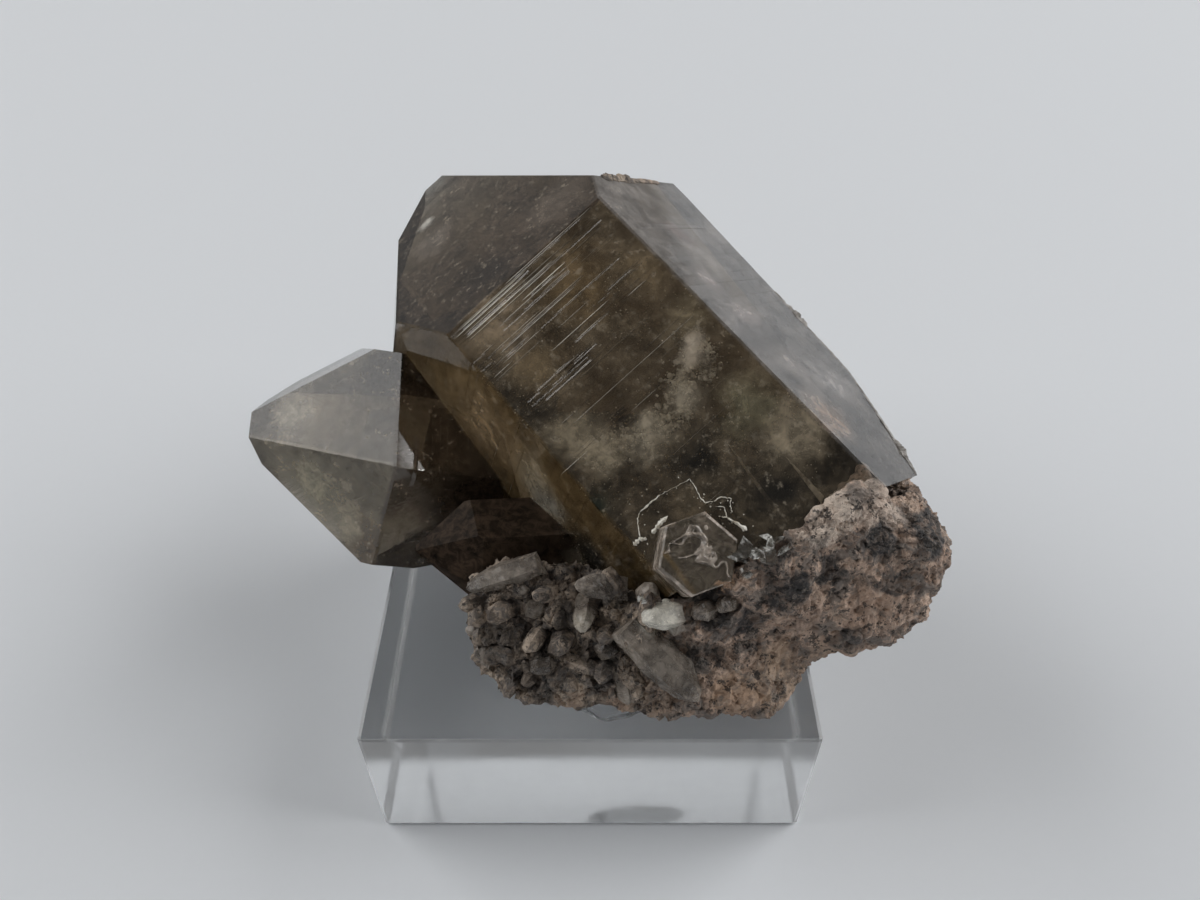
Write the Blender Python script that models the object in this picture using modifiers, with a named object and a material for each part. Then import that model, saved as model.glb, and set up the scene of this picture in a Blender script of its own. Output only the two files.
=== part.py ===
# Smoky quartz specimen: two big crystals grown together on a lump of feldspar rock,
# held by pads of clear gel on a square clear acrylic block.
# The origin is the middle of the block's underside, +Z is up and -Y is the front.

import math

import bpy
import bmesh
from mathutils import Matrix, Vector, noise

MM = 0.001

# The clear block.
BLOCK_SIDE = 50.0 * MM
BLOCK_HEIGHT = 20.0 * MM
BLOCK_EDGE = 0.5 * MM

# Touching pieces keep this gap.
GAP = 0.3 * MM

# The gel pads under the rock: centre x and y, radii along x and y, and turn in degrees.
GEL_THICKNESS = 1.5 * MM
GEL_EDGE = 0.55 * MM
GEL_SEGMENTS = 40
GEL_PADS = {
    "gel_pad_front": ((2.2, -18.3), (5.6, 4.9), 0.0),
    "gel_pad_back": ((6.0, 4.0), (8.4, 4.6), 14.0),
}

GEL_BOTTOM = BLOCK_HEIGHT + GAP
GEL_TOP = GEL_BOTTOM + GEL_THICKNESS
ROCK_BOTTOM = GEL_TOP + GAP
LOW_CRYSTAL_BOTTOM = BLOCK_HEIGHT + 0.7 * MM

# A small crystal: the bar's share of its length, its taper, and how blunt the tip is.
BAR_SHARE = 0.66
BAR_TAPER = 0.92
BLUNT_TIP = (0.22, 0.45)

# Quartz: the end faces of a crystal lean this far from its long axis.
END_FACE_LEAN = 51.79

# Each crystal: a point on its axis, its heading and climb, its turn about its own axis, and the
# distance in millimetres from that point to each side face and each end face by their turn.
# A chip or a stray face is a plane by its turn, its lean from the axis and its distance.
MAIN_CRYSTAL = {
    "point": (-3.2, 22.9, 43.2),
    "heading": 134.5,
    "climb": 21.8,
    "turn": 148.0,
    "sides": {0: 17.0, 60: 16.5, 120: 20.0, 180: 8.2, -120: 16.4, -60: 20.1},
    "ends": {0: 13.3, 60: 15.2, 120: 30.0, 180: 21.6, -120: 21.8, -60: 21.0},
    "planes": ((150.0, 97.4, 13.3), (150.0, 128.4, 27.5), (150.0, 123.6, 24.8), (-90.0, 165.0, 39.5)),
    "tail": 48.0,
    "floor": ROCK_BOTTOM,
}
SIDE_CRYSTAL = {
    "point": (-25.9, 7.6, 30.6),
    "heading": -168.5,
    "climb": 20.7,
    "turn": 157.0,
    "sides": {0: 9.0, -60: 9.1, -120: 13.0, 180: 7.4, 120: 12.0, 60: 13.0},
    "ends": {0: 7.1, -60: 7.1, -120: 10.9, 180: 12.3, 120: 16.0},
    "planes": ((55.1, 50.6, 11.9),),
    "tail": 24.0,
    "floor": LOW_CRYSTAL_BOTTOM,
}

# The dark stub between the side crystal and the rock.
STUB_CRYSTAL = {
    "point": (-11.6, -6.6, 29.6),
    "heading": -165.0,
    "climb": 12.0,
    "turn": 180.0,
    "sides": {0: 4.9, 60: 5.2, 120: 4.9, 180: 5.4, -120: 5.2, -60: 4.9},
    "ends": {0: 5.2, 60: 5.8, 120: 5.8, 180: 4.9, -120: 5.0, -60: 4.9},
    "tail": 12.0,
    "floor": LOW_CRYSTAL_BOTTOM,
}

# The etched clear crystal that stands on the main crystal's front face.
ETCHED_CRYSTAL = {
    "point": (10.6, -16.0, 39.8),
    "heading": -80.0,
    "climb": 52.0,
    "turn": 12.0,
    "sides": {0: 3.5, 60: 3.6, 120: 3.3, 180: 3.6, -120: 3.5, -60: 3.4},
    "ends": {0: 4.2, 60: 4.0, 120: 4.3, 180: 3.9, -120: 4.3, -60: 4.1},
    "planes": ((0.0, 0.0, 1.4),),
    "tail": 7.0,
    "floor": ROCK_BOTTOM,
}

OTHER_CRYSTALS = {
    "side crystal": SIDE_CRYSTAL,
    "dark stub": STUB_CRYSTAL,
    "etched crystal": ETCHED_CRYSTAL,
}

# The rock: round lumps, centre and radius in millimetres, melted into one mass.
ROCK_LUMPS = (
    ((-10.0, -13.0, 26.5), 4.3),
    ((-9.0, -15.5, 23.5), 4.5),
    ((-5.5, -17.0, 22.5), 5.3),
    ((0.0, -17.0, 22.5), 5.8),
    ((5.5, -18.0, 22.5), 6.1),
    ((11.0, -18.3, 22.5), 6.3),
    ((16.5, -18.3, 23.0), 6.0),
    ((22.0, -15.5, 28.0), 5.0),
    ((27.5, -14.0, 29.5), 6.0),
    ((31.0, -13.5, 31.0), 6.0),
    ((33.5, -11.0, 34.5), 5.6),
    ((31.0, -10.5, 37.5), 4.8),
    ((20.0, -14.0, 33.5), 5.2),
    ((12.0, -15.0, 29.5), 5.8),
    ((3.5, -14.0, 26.5), 6.0),
    ((-3.5, -12.5, 26.0), 5.6),
    ((15.5, -15.2, 35.6), 3.8),
    ((20.0, -14.4, 37.6), 3.5),
    ((21.5, -14.0, 40.0), 2.9),
    ((25.0, -12.5, 41.8), 2.8),
    ((28.2, -11.2, 43.2), 2.6),
    ((32.2, -9.8, 39.3), 3.9),
    ((33.6, -6.5, 38.4), 2.6),
    ((26.0, -12.0, 36.5), 4.6),
    ((28.5, -9.5, 38.0), 4.2),
    ((-9.5, -12.5, 30.0), 3.6),
    ((7.0, -16.5, 29.5), 4.0),
    ((34.5, -7.0, 31.5), 5.0),
    ((34.0, -0.5, 27.5), 7.0),
    ((32.0, 4.0, 26.0), 6.4),
    ((29.0, 0.0, 27.0), 7.0),
    ((23.5, -4.0, 28.0), 7.6),
    ((18.0, -3.0, 24.0), 8.0),
    ((8.5, -3.0, 23.0), 7.0),
    ((1.0, -6.0, 24.0), 6.0),
    ((6.0, 3.0, 22.5), 5.2),
    ((16.5, 5.0, 23.5), 5.8),
    ((25.0, 5.5, 25.0), 5.6),
)
LUMP_VOXEL = 1.15 * MM
LUMP_SMOOTHING = 3
ROCK_BUMPS = ((0.9 * MM, 160.0, 3.1), (0.45 * MM, 380.0, 7.7))

# Small crystals on the rock: root, tip and width in millimetres.
SMALL_CRYSTALS = (
    ((-6.0, -12.4, 33.6), (-13.2, -13.9, 31.5), 3.0),
    ((3.2, -15.2, 33.4), (-1.6, -15.8, 34.8), 2.8),
    ((-0.4, -15.0, 30.6), (-0.8, -19.4, 31.9), 2.6),
    ((11.0, -18.0, 33.0), (5.2, -19.7, 34.5), 3.8),
    ((6.8, -16.2, 33.2), (5.0, -18.6, 36.0), 1.8),
    ((4.4, -18.8, 31.0), (11.4, -24.0, 25.8), 4.4),
    ((18.0, -14.6, 39.2), (14.8, -17.6, 41.0), 2.6),
    ((20.0, -13.8, 39.6), (17.2, -16.6, 41.6), 2.0),
    ((-8.6, -13.6, 28.8), (-10.6, -17.2, 31.0), 2.8),
    ((-5.0, -15.6, 27.0), (-6.6, -19.8, 29.0), 2.6),
    ((-8.4, -16.0, 24.6), (-11.4, -19.0, 25.8), 2.6),
    ((-10.6, -12.8, 28.2), (-14.2, -14.6, 29.4), 2.6),
    ((-4.0, -13.6, 30.8), (-5.6, -16.4, 33.4), 2.2),
    ((-2.6, -16.6, 27.2), (-3.4, -20.2, 29.2), 2.8),
    ((2.4, -16.8, 28.6), (1.2, -20.0, 31.0), 2.4),
    ((2.2, -18.4, 25.4), (1.0, -22.2, 27.0), 2.6),
    ((-5.6, -18.0, 23.6), (-7.0, -21.4, 24.8), 2.4),
)


def clear_scene():
    for item in list(bpy.data.objects):
        bpy.data.objects.remove(item, do_unlink=True)


def new_collection(name):
    group = bpy.data.collections.new(name)
    bpy.context.scene.collection.children.link(group)
    return group


def new_material(name, colour, roughness, transmission=0.0, ior=1.5):
    material = bpy.data.materials.new(name)
    material.use_nodes = True
    shader = material.node_tree.nodes["Principled BSDF"]
    shader.inputs["Base Color"].default_value = (*colour, 1.0)
    shader.inputs["Roughness"].default_value = roughness
    shader.inputs["Metallic"].default_value = 0.0
    shader.inputs["Transmission Weight"].default_value = transmission
    shader.inputs["IOR"].default_value = ior
    return material


def add_object(name, bm, group, material=None):
    bmesh.ops.recalc_face_normals(bm, faces=bm.faces[:])
    mesh = bpy.data.meshes.new(name)
    bm.to_mesh(mesh)
    bm.free()
    item = bpy.data.objects.new(name, mesh)
    group.objects.link(item)
    if material is not None:
        mesh.materials.append(material)
    return item


def as_guide(item):
    item.hide_render = True
    item.display_type = "WIRE"
    return item


# Cut away everything beyond a plane and close the cut.
def slice_off(bm, point, normal):
    cut = bmesh.ops.bisect_plane(
        bm, geom=bm.verts[:] + bm.edges[:] + bm.faces[:], dist=1e-7,
        plane_co=point, plane_no=normal, clear_outer=True,
    )
    edges = [part for part in cut["geom_cut"] if isinstance(part, bmesh.types.BMEdge)]
    if edges:
        bmesh.ops.edgeloop_fill(bm, edges=edges)


def face_direction(turn, lean):
    around = math.radians(turn)
    down = math.radians(lean)
    return Vector((
        math.sin(down) * math.cos(around),
        math.sin(down) * math.sin(around),
        math.cos(down),
    ))


def crystal_matrix(heading, climb, turn, point):
    swing = Matrix.Rotation(math.radians(heading), 4, "Z")
    tip = Matrix.Rotation(math.radians(90.0 - climb), 4, "Y")
    spin = Matrix.Rotation(math.radians(turn), 4, "Z")
    return Matrix.Translation(point) @ swing @ tip @ spin


# A quartz crystal is a big cube cut down by its own faces, then set in its place.
# The extra amount moves every face outward, which gives the room cut in the rock.
def quartz(shape, extra=0.0):
    bm = bmesh.new()
    bmesh.ops.create_cube(bm, size=0.4)
    for turn, distance in shape["sides"].items():
        normal = face_direction(turn, 90.0)
        slice_off(bm, normal * (distance * MM + extra), normal)
    for turn, distance in shape["ends"].items():
        normal = face_direction(turn, END_FACE_LEAN)
        slice_off(bm, normal * (distance * MM + extra), normal)
    for turn, lean, distance in shape.get("planes", ()):
        normal = face_direction(turn, lean)
        slice_off(bm, normal * (distance * MM + extra), normal)
    down = Vector((0.0, 0.0, -1.0))
    slice_off(bm, down * (shape["tail"] * MM + extra), down)
    point = Vector(shape["point"]) * MM
    place = crystal_matrix(shape["heading"], shape["climb"], shape["turn"], point)
    bmesh.ops.transform(bm, matrix=place, verts=bm.verts[:])
    floor = Vector((0.0, 0.0, shape["floor"] - extra))
    slice_off(bm, floor, down)
    return bm


# A small crystal is a six-sided bar with a blunt six-sided point.
def small_quartz(root, tip, width):
    start = Vector(root) * MM
    along = Vector(tip) * MM - start
    bm = bmesh.new()
    radius = 0.5 * width * MM
    bar = BAR_SHARE * along.length
    bmesh.ops.create_cone(
        bm, cap_ends=True, segments=6, radius1=radius, radius2=radius * BAR_TAPER, depth=bar,
        matrix=Matrix.Translation((0.0, 0.0, 0.5 * bar)),
    )
    top = max(bm.faces, key=lambda face: face.calc_center_median().z)
    raised = bmesh.ops.extrude_discrete_faces(bm, faces=[top])["faces"][0]
    bmesh.ops.translate(bm, vec=(0.0, 0.0, along.length - bar), verts=raised.verts[:])
    middle = raised.calc_center_median()
    bmesh.ops.scale(
        bm, vec=(BLUNT_TIP[0], BLUNT_TIP[1], 1.0), space=Matrix.Translation(-middle),
        verts=raised.verts[:],
    )
    bmesh.ops.remove_doubles(bm, verts=bm.verts[:], dist=1e-7)
    place = Matrix.Translation(start) @ along.to_track_quat("Z", "Y").to_matrix().to_4x4()
    bmesh.ops.transform(bm, matrix=place, verts=bm.verts[:])
    return bm


def add_boolean(item, operation, other):
    modifier = item.modifiers.new(operation.lower() + " " + other.name, "BOOLEAN")
    modifier.operation = operation
    modifier.object = other
    modifier.solver = "EXACT"
    return modifier


def make_block(group):
    bm = bmesh.new()
    bmesh.ops.create_cube(bm, size=1.0)
    bmesh.ops.scale(bm, vec=(BLOCK_SIDE, BLOCK_SIDE, BLOCK_HEIGHT), verts=bm.verts[:])
    bmesh.ops.translate(bm, vec=(0.0, 0.0, 0.5 * BLOCK_HEIGHT), verts=bm.verts[:])
    acrylic = new_material("clear acrylic", (0.93, 0.95, 0.96), 0.04, 1.0, 1.49)
    block = add_object("acrylic_block", bm, group, acrylic)
    bevel = block.modifiers.new("softened edges", "BEVEL")
    bevel.width = BLOCK_EDGE
    bevel.segments = 2
    return block


def make_gel_pad(name, place, radii, turn, gel, group):
    bm = bmesh.new()
    bmesh.ops.create_cone(
        bm, cap_ends=True, segments=GEL_SEGMENTS, radius1=1.0, radius2=1.0, depth=GEL_THICKNESS,
    )
    bmesh.ops.scale(bm, vec=(radii[0] * MM, radii[1] * MM, 1.0), verts=bm.verts[:])
    swing = Matrix.Rotation(math.radians(turn), 4, "Z")
    lift = Matrix.Translation((place[0] * MM, place[1] * MM, GEL_BOTTOM + 0.5 * GEL_THICKNESS))
    bmesh.ops.transform(bm, matrix=lift @ swing, verts=bm.verts[:])
    pad = add_object(name, bm, group, gel)
    bevel = pad.modifiers.new("round rim", "BEVEL")
    bevel.width = GEL_EDGE
    bevel.segments = 2
    return pad


# The main crystal with the others joined to it, or with an extra amount the room for them all.
def joined_crystals(name, group, guides, material=None, extra=0.0):
    crystals = add_object(name, quartz(MAIN_CRYSTAL, extra), group, material)
    for label, shape in OTHER_CRYSTALS.items():
        joined = as_guide(add_object(f"{label} of {name}", quartz(shape, extra), guides))
        add_boolean(crystals, "UNION", joined)
    return crystals


def lump_mesh():
    bm = bmesh.new()
    for middle, radius in ROCK_LUMPS:
        place = Matrix.Translation(Vector(middle) * MM)
        bmesh.ops.create_icosphere(bm, subdivisions=3, radius=radius * MM, matrix=place)
    return bm


# Melt the lumps together, then roughen the skin along its normals.
def melted_rock(guides):
    lumps = add_object("rock lumps", lump_mesh(), guides)
    remesh = lumps.modifiers.new("melt", "REMESH")
    remesh.mode = "VOXEL"
    remesh.voxel_size = LUMP_VOXEL
    view = bpy.context.evaluated_depsgraph_get()
    melted = bpy.data.meshes.new_from_object(lumps.evaluated_get(view))
    bpy.data.objects.remove(lumps, do_unlink=True)
    bm = bmesh.new()
    bm.from_mesh(melted)
    bpy.data.meshes.remove(melted)
    for _ in range(LUMP_SMOOTHING):
        bmesh.ops.smooth_vert(
            bm, verts=bm.verts[:], factor=0.5, use_axis_x=True, use_axis_y=True, use_axis_z=True,
        )
    bm.normal_update()
    moves = []
    for vert in bm.verts:
        push = 0.0
        for height, scale, offset in ROCK_BUMPS:
            push += height * noise.noise(vert.co * scale + Vector((offset, offset, offset)))
        moves.append(vert.normal * push)
    for vert, move in zip(bm.verts, moves):
        vert.co += move
    return bm


def make_rock(group, guides):
    feldspar = new_material("feldspar rock", (0.34, 0.25, 0.2), 0.85)
    rock = add_object("feldspar_matrix", melted_rock(guides), group, feldspar)
    bm = bmesh.new()
    bmesh.ops.create_cube(bm, size=0.2)
    bmesh.ops.translate(bm, vec=(0.0, 0.0, ROCK_BOTTOM - 0.1), verts=bm.verts[:])
    ground = as_guide(add_object("flat base", bm, guides))
    add_boolean(rock, "DIFFERENCE", ground)
    for number, shape in enumerate(SMALL_CRYSTALS, start=1):
        small = as_guide(add_object(f"small crystal {number}", small_quartz(*shape), guides))
        add_boolean(rock, "UNION", small)
    room = as_guide(joined_crystals("crystal room", guides, guides, extra=GAP))
    add_boolean(rock, "DIFFERENCE", room)
    return rock


def main():
    clear_scene()
    group = new_collection("smoky quartz on a block")
    guides = new_collection("cutters")
    make_block(group)
    gel = new_material("clear gel", (0.9, 0.92, 0.93), 0.15, 1.0, 1.45)
    for name, (place, radii, turn) in GEL_PADS.items():
        make_gel_pad(name, place, radii, turn, gel, group)
    smoky = new_material("smoky quartz", (0.23, 0.19, 0.14), 0.05, 0.8, 1.544)
    joined_crystals("smoky_crystals", group, guides, smoky)
    make_rock(group, guides)


main()
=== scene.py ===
import math
import random

import bmesh
import bpy
import numpy as np
from mathutils import Matrix, Vector, kdtree, noise


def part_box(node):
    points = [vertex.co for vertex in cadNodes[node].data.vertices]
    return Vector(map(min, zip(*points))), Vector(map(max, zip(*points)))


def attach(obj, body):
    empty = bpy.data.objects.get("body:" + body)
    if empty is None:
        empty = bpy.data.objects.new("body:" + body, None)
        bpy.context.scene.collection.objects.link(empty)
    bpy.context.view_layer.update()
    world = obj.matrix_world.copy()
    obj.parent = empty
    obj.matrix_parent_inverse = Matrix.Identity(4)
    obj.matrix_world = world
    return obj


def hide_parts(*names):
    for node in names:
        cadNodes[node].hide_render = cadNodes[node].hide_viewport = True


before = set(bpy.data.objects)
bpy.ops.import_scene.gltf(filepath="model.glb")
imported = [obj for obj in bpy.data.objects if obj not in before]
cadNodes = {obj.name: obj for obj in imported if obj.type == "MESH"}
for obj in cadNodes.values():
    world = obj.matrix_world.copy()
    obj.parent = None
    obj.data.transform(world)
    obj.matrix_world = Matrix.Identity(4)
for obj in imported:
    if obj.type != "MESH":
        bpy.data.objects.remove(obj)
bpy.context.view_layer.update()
mm = 0.001
print("frame loaded:", ", ".join(sorted(cadNodes)))


class Wire:  # one socket that can stand in a sum
    def __init__(self, finish, socket):
        self.finish = finish
        self.socket = socket

    def maths(self, kind, first, second=0.0):
        return self.finish.node("ShaderNodeMath", {"operation": kind}, {0: first, 1: second})

    def __add__(self, other):
        return self.maths("ADD", self, other)

    def __radd__(self, other):
        return self.maths("ADD", other, self)

    def __sub__(self, other):
        return self.maths("SUBTRACT", self, other)

    def __rsub__(self, other):
        return self.maths("SUBTRACT", other, self)

    def __mul__(self, other):
        return self.maths("MULTIPLY", self, other)

    def __rmul__(self, other):
        return self.maths("MULTIPLY", other, self)

    def __truediv__(self, other):
        return self.maths("DIVIDE", self, other)

    def __rtruediv__(self, other):
        return self.maths("DIVIDE", other, self)

    def __pow__(self, other):
        return self.maths("POWER", self, other)

    def most(self, other):
        return self.maths("MAXIMUM", self, other)

    def least(self, other):
        return self.maths("MINIMUM", self, other)

    def between(self, low, high):  # 0 below low, 1 above high, smooth in between
        return self.finish.node(
            "ShaderNodeMapRange",
            {"interpolation_type": "SMOOTHSTEP"},
            {"Value": self, "From Min": low, "From Max": high},
        )


class Finish:  # one node tree while it is wired
    def __init__(self, owner):
        owner.use_nodes = True
        self.owner = owner
        self.tree = owner.node_tree
        self.masks = {}
        self.tree.nodes.clear()

    def node(self, kind, settings=None, values=None, out=0):
        made = self.tree.nodes.new(kind)
        for name, value in (settings or {}).items():
            if name == "stops":
                self.setStops(made.color_ramp, value)
            else:
                setattr(made, name, value)
        for name, value in (values or {}).items():
            socket = made.inputs[name]
            if isinstance(value, Wire):
                self.tree.links.new(value.socket, socket)
            elif socket.type == "RGBA" and len(value) == 3:
                socket.default_value = (*value, 1.0)
            else:
                socket.default_value = value
        return Wire(self, made.outputs[out]) if made.outputs else made

    def setStops(self, ramp, stops):
        while len(ramp.elements) < len(stops):
            ramp.elements.new(0.5)
        for element, (place, colour) in zip(ramp.elements, stops):
            element.position = place
            element.color = (*colour, 1.0)

    def place(self):
        return self.node("ShaderNodeTexCoord", out="Object")

    def cloud(self, scale, detail=4.0, rough=0.55, at=None, twist=0.0):
        values = {"Scale": scale, "Detail": detail, "Roughness": rough, "Distortion": twist}
        values["Vector"] = at or self.place()
        return self.node("ShaderNodeTexNoise", None, values)

    def cells(self, scale, feature="F1", at=None, out="Distance", spread=1.0):
        values = {"Vector": at or self.place(), "Scale": scale, "Randomness": spread}
        return self.node("ShaderNodeTexVoronoi", {"feature": feature}, values, out)

    def blend(self, factor, first, second, kind="MIX"):
        settings = {"data_type": "RGBA", "blend_type": kind}
        return self.node("ShaderNodeMix", settings, {0: factor, 6: first, 7: second}, 2)

    def along(self, direction, at=None):
        values = {0: at or self.place(), 1: direction}
        return self.node("ShaderNodeVectorMath", {"operation": "DOT_PRODUCT"}, values, "Value")

    def far(self, point, at=None):
        values = {0: at or self.place(), 1: point}
        return self.node("ShaderNodeVectorMath", {"operation": "DISTANCE"}, values, "Value")

    def shifted(self, scale, amount, at=None):  # a place pushed about by noise
        start = at or self.place()
        push = self.node("ShaderNodeTexNoise", None, {"Vector": start, "Scale": scale}, 1)
        middle = self.node("ShaderNodeVectorMath", {"operation": "SUBTRACT"}, {0: push, 1: (0.5, 0.5, 0.5)})
        sized = self.node("ShaderNodeVectorMath", {"operation": "SCALE"}, {0: middle, "Scale": amount})
        return self.node("ShaderNodeVectorMath", {"operation": "ADD"}, {0: start, 1: sized})

    def relief(self, height, strength, distance, below=None):
        values = {"Height": height, "Strength": strength, "Distance": distance}
        if below is not None:
            values["Normal"] = below
        return self.node("ShaderNodeBump", None, values)

    def shader(self, **values):
        named = {name.replace("_", " "): value for name, value in values.items()}
        return self.node("ShaderNodeBsdfPrincipled", None, named)

    def layered(self, factor, first, second):
        return self.node("ShaderNodeMixShader", None, {0: factor, 1: first, 2: second})

    def done(self, surface, volume=None):
        values = {"Surface": surface}
        if volume is not None:
            values["Volume"] = volume
        self.node("ShaderNodeOutputMaterial", None, values)
        return self.owner


def newFinish(name):
    return Finish(bpy.data.materials.new(name))


def newPiece(name, mesh, material, slotName, *nodes):
    piece = bpy.data.objects.new(name, mesh)
    bpy.context.scene.collection.objects.link(piece)
    mesh.materials.clear()
    mesh.materials.append(material)
    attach(piece, "root")
    if nodes:
        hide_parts(*nodes)
    return piece


def meshFrom(bm, name):
    mesh = bpy.data.meshes.new(name)
    bm.to_mesh(mesh)
    bm.free()
    return mesh


# camera, as the photo was taken

cameraSet = {
    "place": (1.07, -76.5, 111.03),  # mm
    "pitch": 43.3,  # degrees below level
    "focal": 937.0,  # in pixels of the photo
    "photoWidth": 1200.0,
    "sensor": 36.0,
}


def makeCamera():
    lens = bpy.data.cameras.new("camera")
    lens.sensor_width = cameraSet["sensor"]
    lens.lens = cameraSet["focal"] / cameraSet["photoWidth"] * cameraSet["sensor"]
    lens.clip_start = 1.0 * mm
    lens.clip_end = 10.0
    camera = bpy.data.objects.new("camera", lens)
    camera.location = Vector(cameraSet["place"]) * mm
    camera.rotation_euler = (math.radians(90.0 - cameraSet["pitch"]), 0.0, 0.0)
    bpy.context.scene.collection.objects.link(camera)
    bpy.context.scene.camera = camera
    print("camera ready")


# floor and light

stageSet = {
    "floorSize": 3.0,
    "floorDrop": 0.05,  # mm of air between the block and the paper
    "floorColour": (0.80, 0.82, 0.845),
    "skyLow": 0.255,  # brightness of the surroundings near the floor
    "skyHigh": 0.11,  # and straight above
    "skyTint": (0.96, 0.98, 1.0),
    # place and size in metres, power in watts
    "lamps": {
        "left_softbox": ((-2.3, 0.6, 1.5), (2.4, 2.4), 47.0),
        "right_softbox": ((2.3, 0.5, 1.5), (2.4, 2.4), 60.0),
        "window_band": ((0.5708, 0.184, 1.0069), (0.062, 0.011), 0.075),
        "window_pane": ((0.5546, 0.1809, 1.0163), (0.062, 0.024), 0.016),
        "window_streak": ((0.5923, 0.1762, 0.9963), (0.041, 0.0045), 0.026),
    },
}


def makeStage():
    bm = bmesh.new()
    bmesh.ops.create_grid(bm, x_segments=1, y_segments=1, size=0.5 * stageSet["floorSize"])
    finish = newFinish("pale paper")
    fibre = finish.cloud(900.0, 3.0)
    low, high = (tuple(c * k for c in stageSet["floorColour"]) for k in (0.985, 1.0))
    colour = finish.blend(fibre, low, high)
    paper = finish.done(finish.shader(Base_Color=colour, Roughness=0.8))
    floor = bpy.data.objects.new("floor", meshFrom(bm, "floor"))
    floor.location.z = -stageSet["floorDrop"] * mm
    floor.data.materials.append(paper)
    bpy.context.scene.collection.objects.link(floor)

    world = bpy.data.worlds.new("soft surroundings")
    bpy.context.scene.world = world
    sky = Finish(world)
    spot = sky.node("ShaderNodeTexCoord", out="Generated")
    height = sky.along((0.0, 0.0, 1.0), spot)
    level = stageSet["skyLow"] + height.between(0.1, 0.75) * (stageSet["skyHigh"] - stageSet["skyLow"])
    back = sky.node("ShaderNodeBackground", None, {"Color": stageSet["skyTint"], "Strength": level})
    sky.node("ShaderNodeOutputWorld", None, {"Surface": back})

    for name, (place, size, power) in stageSet["lamps"].items():
        lamp = bpy.data.lights.new(name, "AREA")
        lamp.shape = "RECTANGLE"
        lamp.size, lamp.size_y = size
        lamp.energy = power
        box = bpy.data.objects.new(name, lamp)
        box.location = place
        box.rotation_mode = "QUATERNION"
        box.rotation_quaternion = (-Vector(place)).to_track_quat("-Z", "Y")
        bpy.context.scene.collection.objects.link(box)
    view = bpy.context.scene.view_settings
    view.view_transform = "Standard"
    view.look = "None"
    print("floor and light ready")


# clear block and its gel pads

blockSet = {
    "colour": (0.985, 0.99, 0.992),
    "ior": 1.49,
    "absorb": (0.9, 0.94, 0.96),
    "density": 4.0,
    "gelSink": 0.02,  # mm that the gel reaches into the block's top
    "groundEdge": 24.42,  # where the ground lower edges begin, mm from the middle
}


def acrylicFinish():
    finish = newFinish("clear acrylic")
    haze = finish.cloud(60.0, 3.0).between(0.35, 0.75)
    rough = 0.07 + haze * 0.05
    wave = finish.cloud(45.0, 2.0)
    surface = finish.shader(
        Base_Color=finish.blend(haze, blockSet["colour"], (0.99, 0.992, 0.995)),
        Roughness=rough,
        IOR=blockSet["ior"],
        Transmission_Weight=1.0,
        Normal=finish.relief(wave, 0.05, 0.2 * mm),
    )
    x, y, z = (finish.along(way) for way in ((1.0, 0.0, 0.0), (0.0, 1.0, 0.0), (0.0, 0.0, 1.0)))
    reach = x.maths("ABSOLUTE", x).most(y.maths("ABSOLUTE", y)) - z
    edge = reach.between(blockSet["groundEdge"] * mm, (blockSet["groundEdge"] + 0.05) * mm)
    ground = finish.shader(Base_Color=finish.blend(haze, (0.74, 0.745, 0.75), (0.84, 0.845, 0.85)), Roughness=0.6)
    # painted light: a pale diffuse layer on the front face alone makes it glow white, standing in for the bright
    # background that face shows by reflection inside the block
    front = 1 - y.between(-24.9 * mm, -24.7 * mm)
    front_glow_mottle = finish.cloud(90.0, 3.0)
    milk = finish.shader(Base_Color=finish.blend(front_glow_mottle, (0.93, 0.935, 0.94), (0.97, 0.97, 0.975)), Roughness=0.5)
    absorb = {"Color": blockSet["absorb"], "Density": blockSet["density"]}
    volume = finish.node("ShaderNodeVolumeAbsorption", None, absorb)
    clear = finish.layered(front * (0.26 + front_glow_mottle * 0.08), surface, milk)
    return finish.done(finish.layered(edge, clear, ground), volume)


def gelFinish():
    finish = newFinish("clear gel")
    lump = finish.cloud(420.0, 3.0)
    surface = finish.shader(
        Base_Color=finish.blend(lump, (0.93, 0.95, 0.96), (0.99, 0.99, 0.99)),
        Roughness=0.06 + lump * 0.1,
        IOR=1.42,
        Transmission_Weight=1.0,
        Normal=finish.relief(lump, 0.25, 0.4 * mm),
    )
    return finish.done(surface)


def dressBlock():
    block = cadNodes["acrylic_block"]
    block.data.materials.clear()
    block.data.materials.append(acrylicFinish())
    gel = gelFinish()
    for name in ("gel_pad_front", "gel_pad_back"):
        pressGel(name, gel)
    print("block and gel pads ready")


def pressGel(name, material):  # the pad wets the block, and its rim is wavy
    bm = bmesh.new()
    bm.from_mesh(cadNodes[name].data)
    bmesh.ops.subdivide_edges(bm, edges=bm.edges[:], cuts=2, use_grid_fill=True)
    floor, ceiling = (Vector(corner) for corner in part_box(name))
    middle = (floor + ceiling) / 2
    foot = (20.0 - blockSet["gelSink"]) * mm
    for vert in bm.verts:
        if vert.co.z < middle.z:
            share = (middle.z - vert.co.z) / (middle.z - floor.z)
            vert.co.z -= share * (floor.z - foot)
        wave = 1.0 - 0.12 * (0.5 + noise.noise(vert.co * 420.0))
        vert.co.x = middle.x + (vert.co.x - middle.x) * wave
        vert.co.y = middle.y + (vert.co.y - middle.y) * wave
    return newPiece("pressed_" + name, meshFrom(bm, name), material, "clear_gel", name)


# smoky crystals

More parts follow.
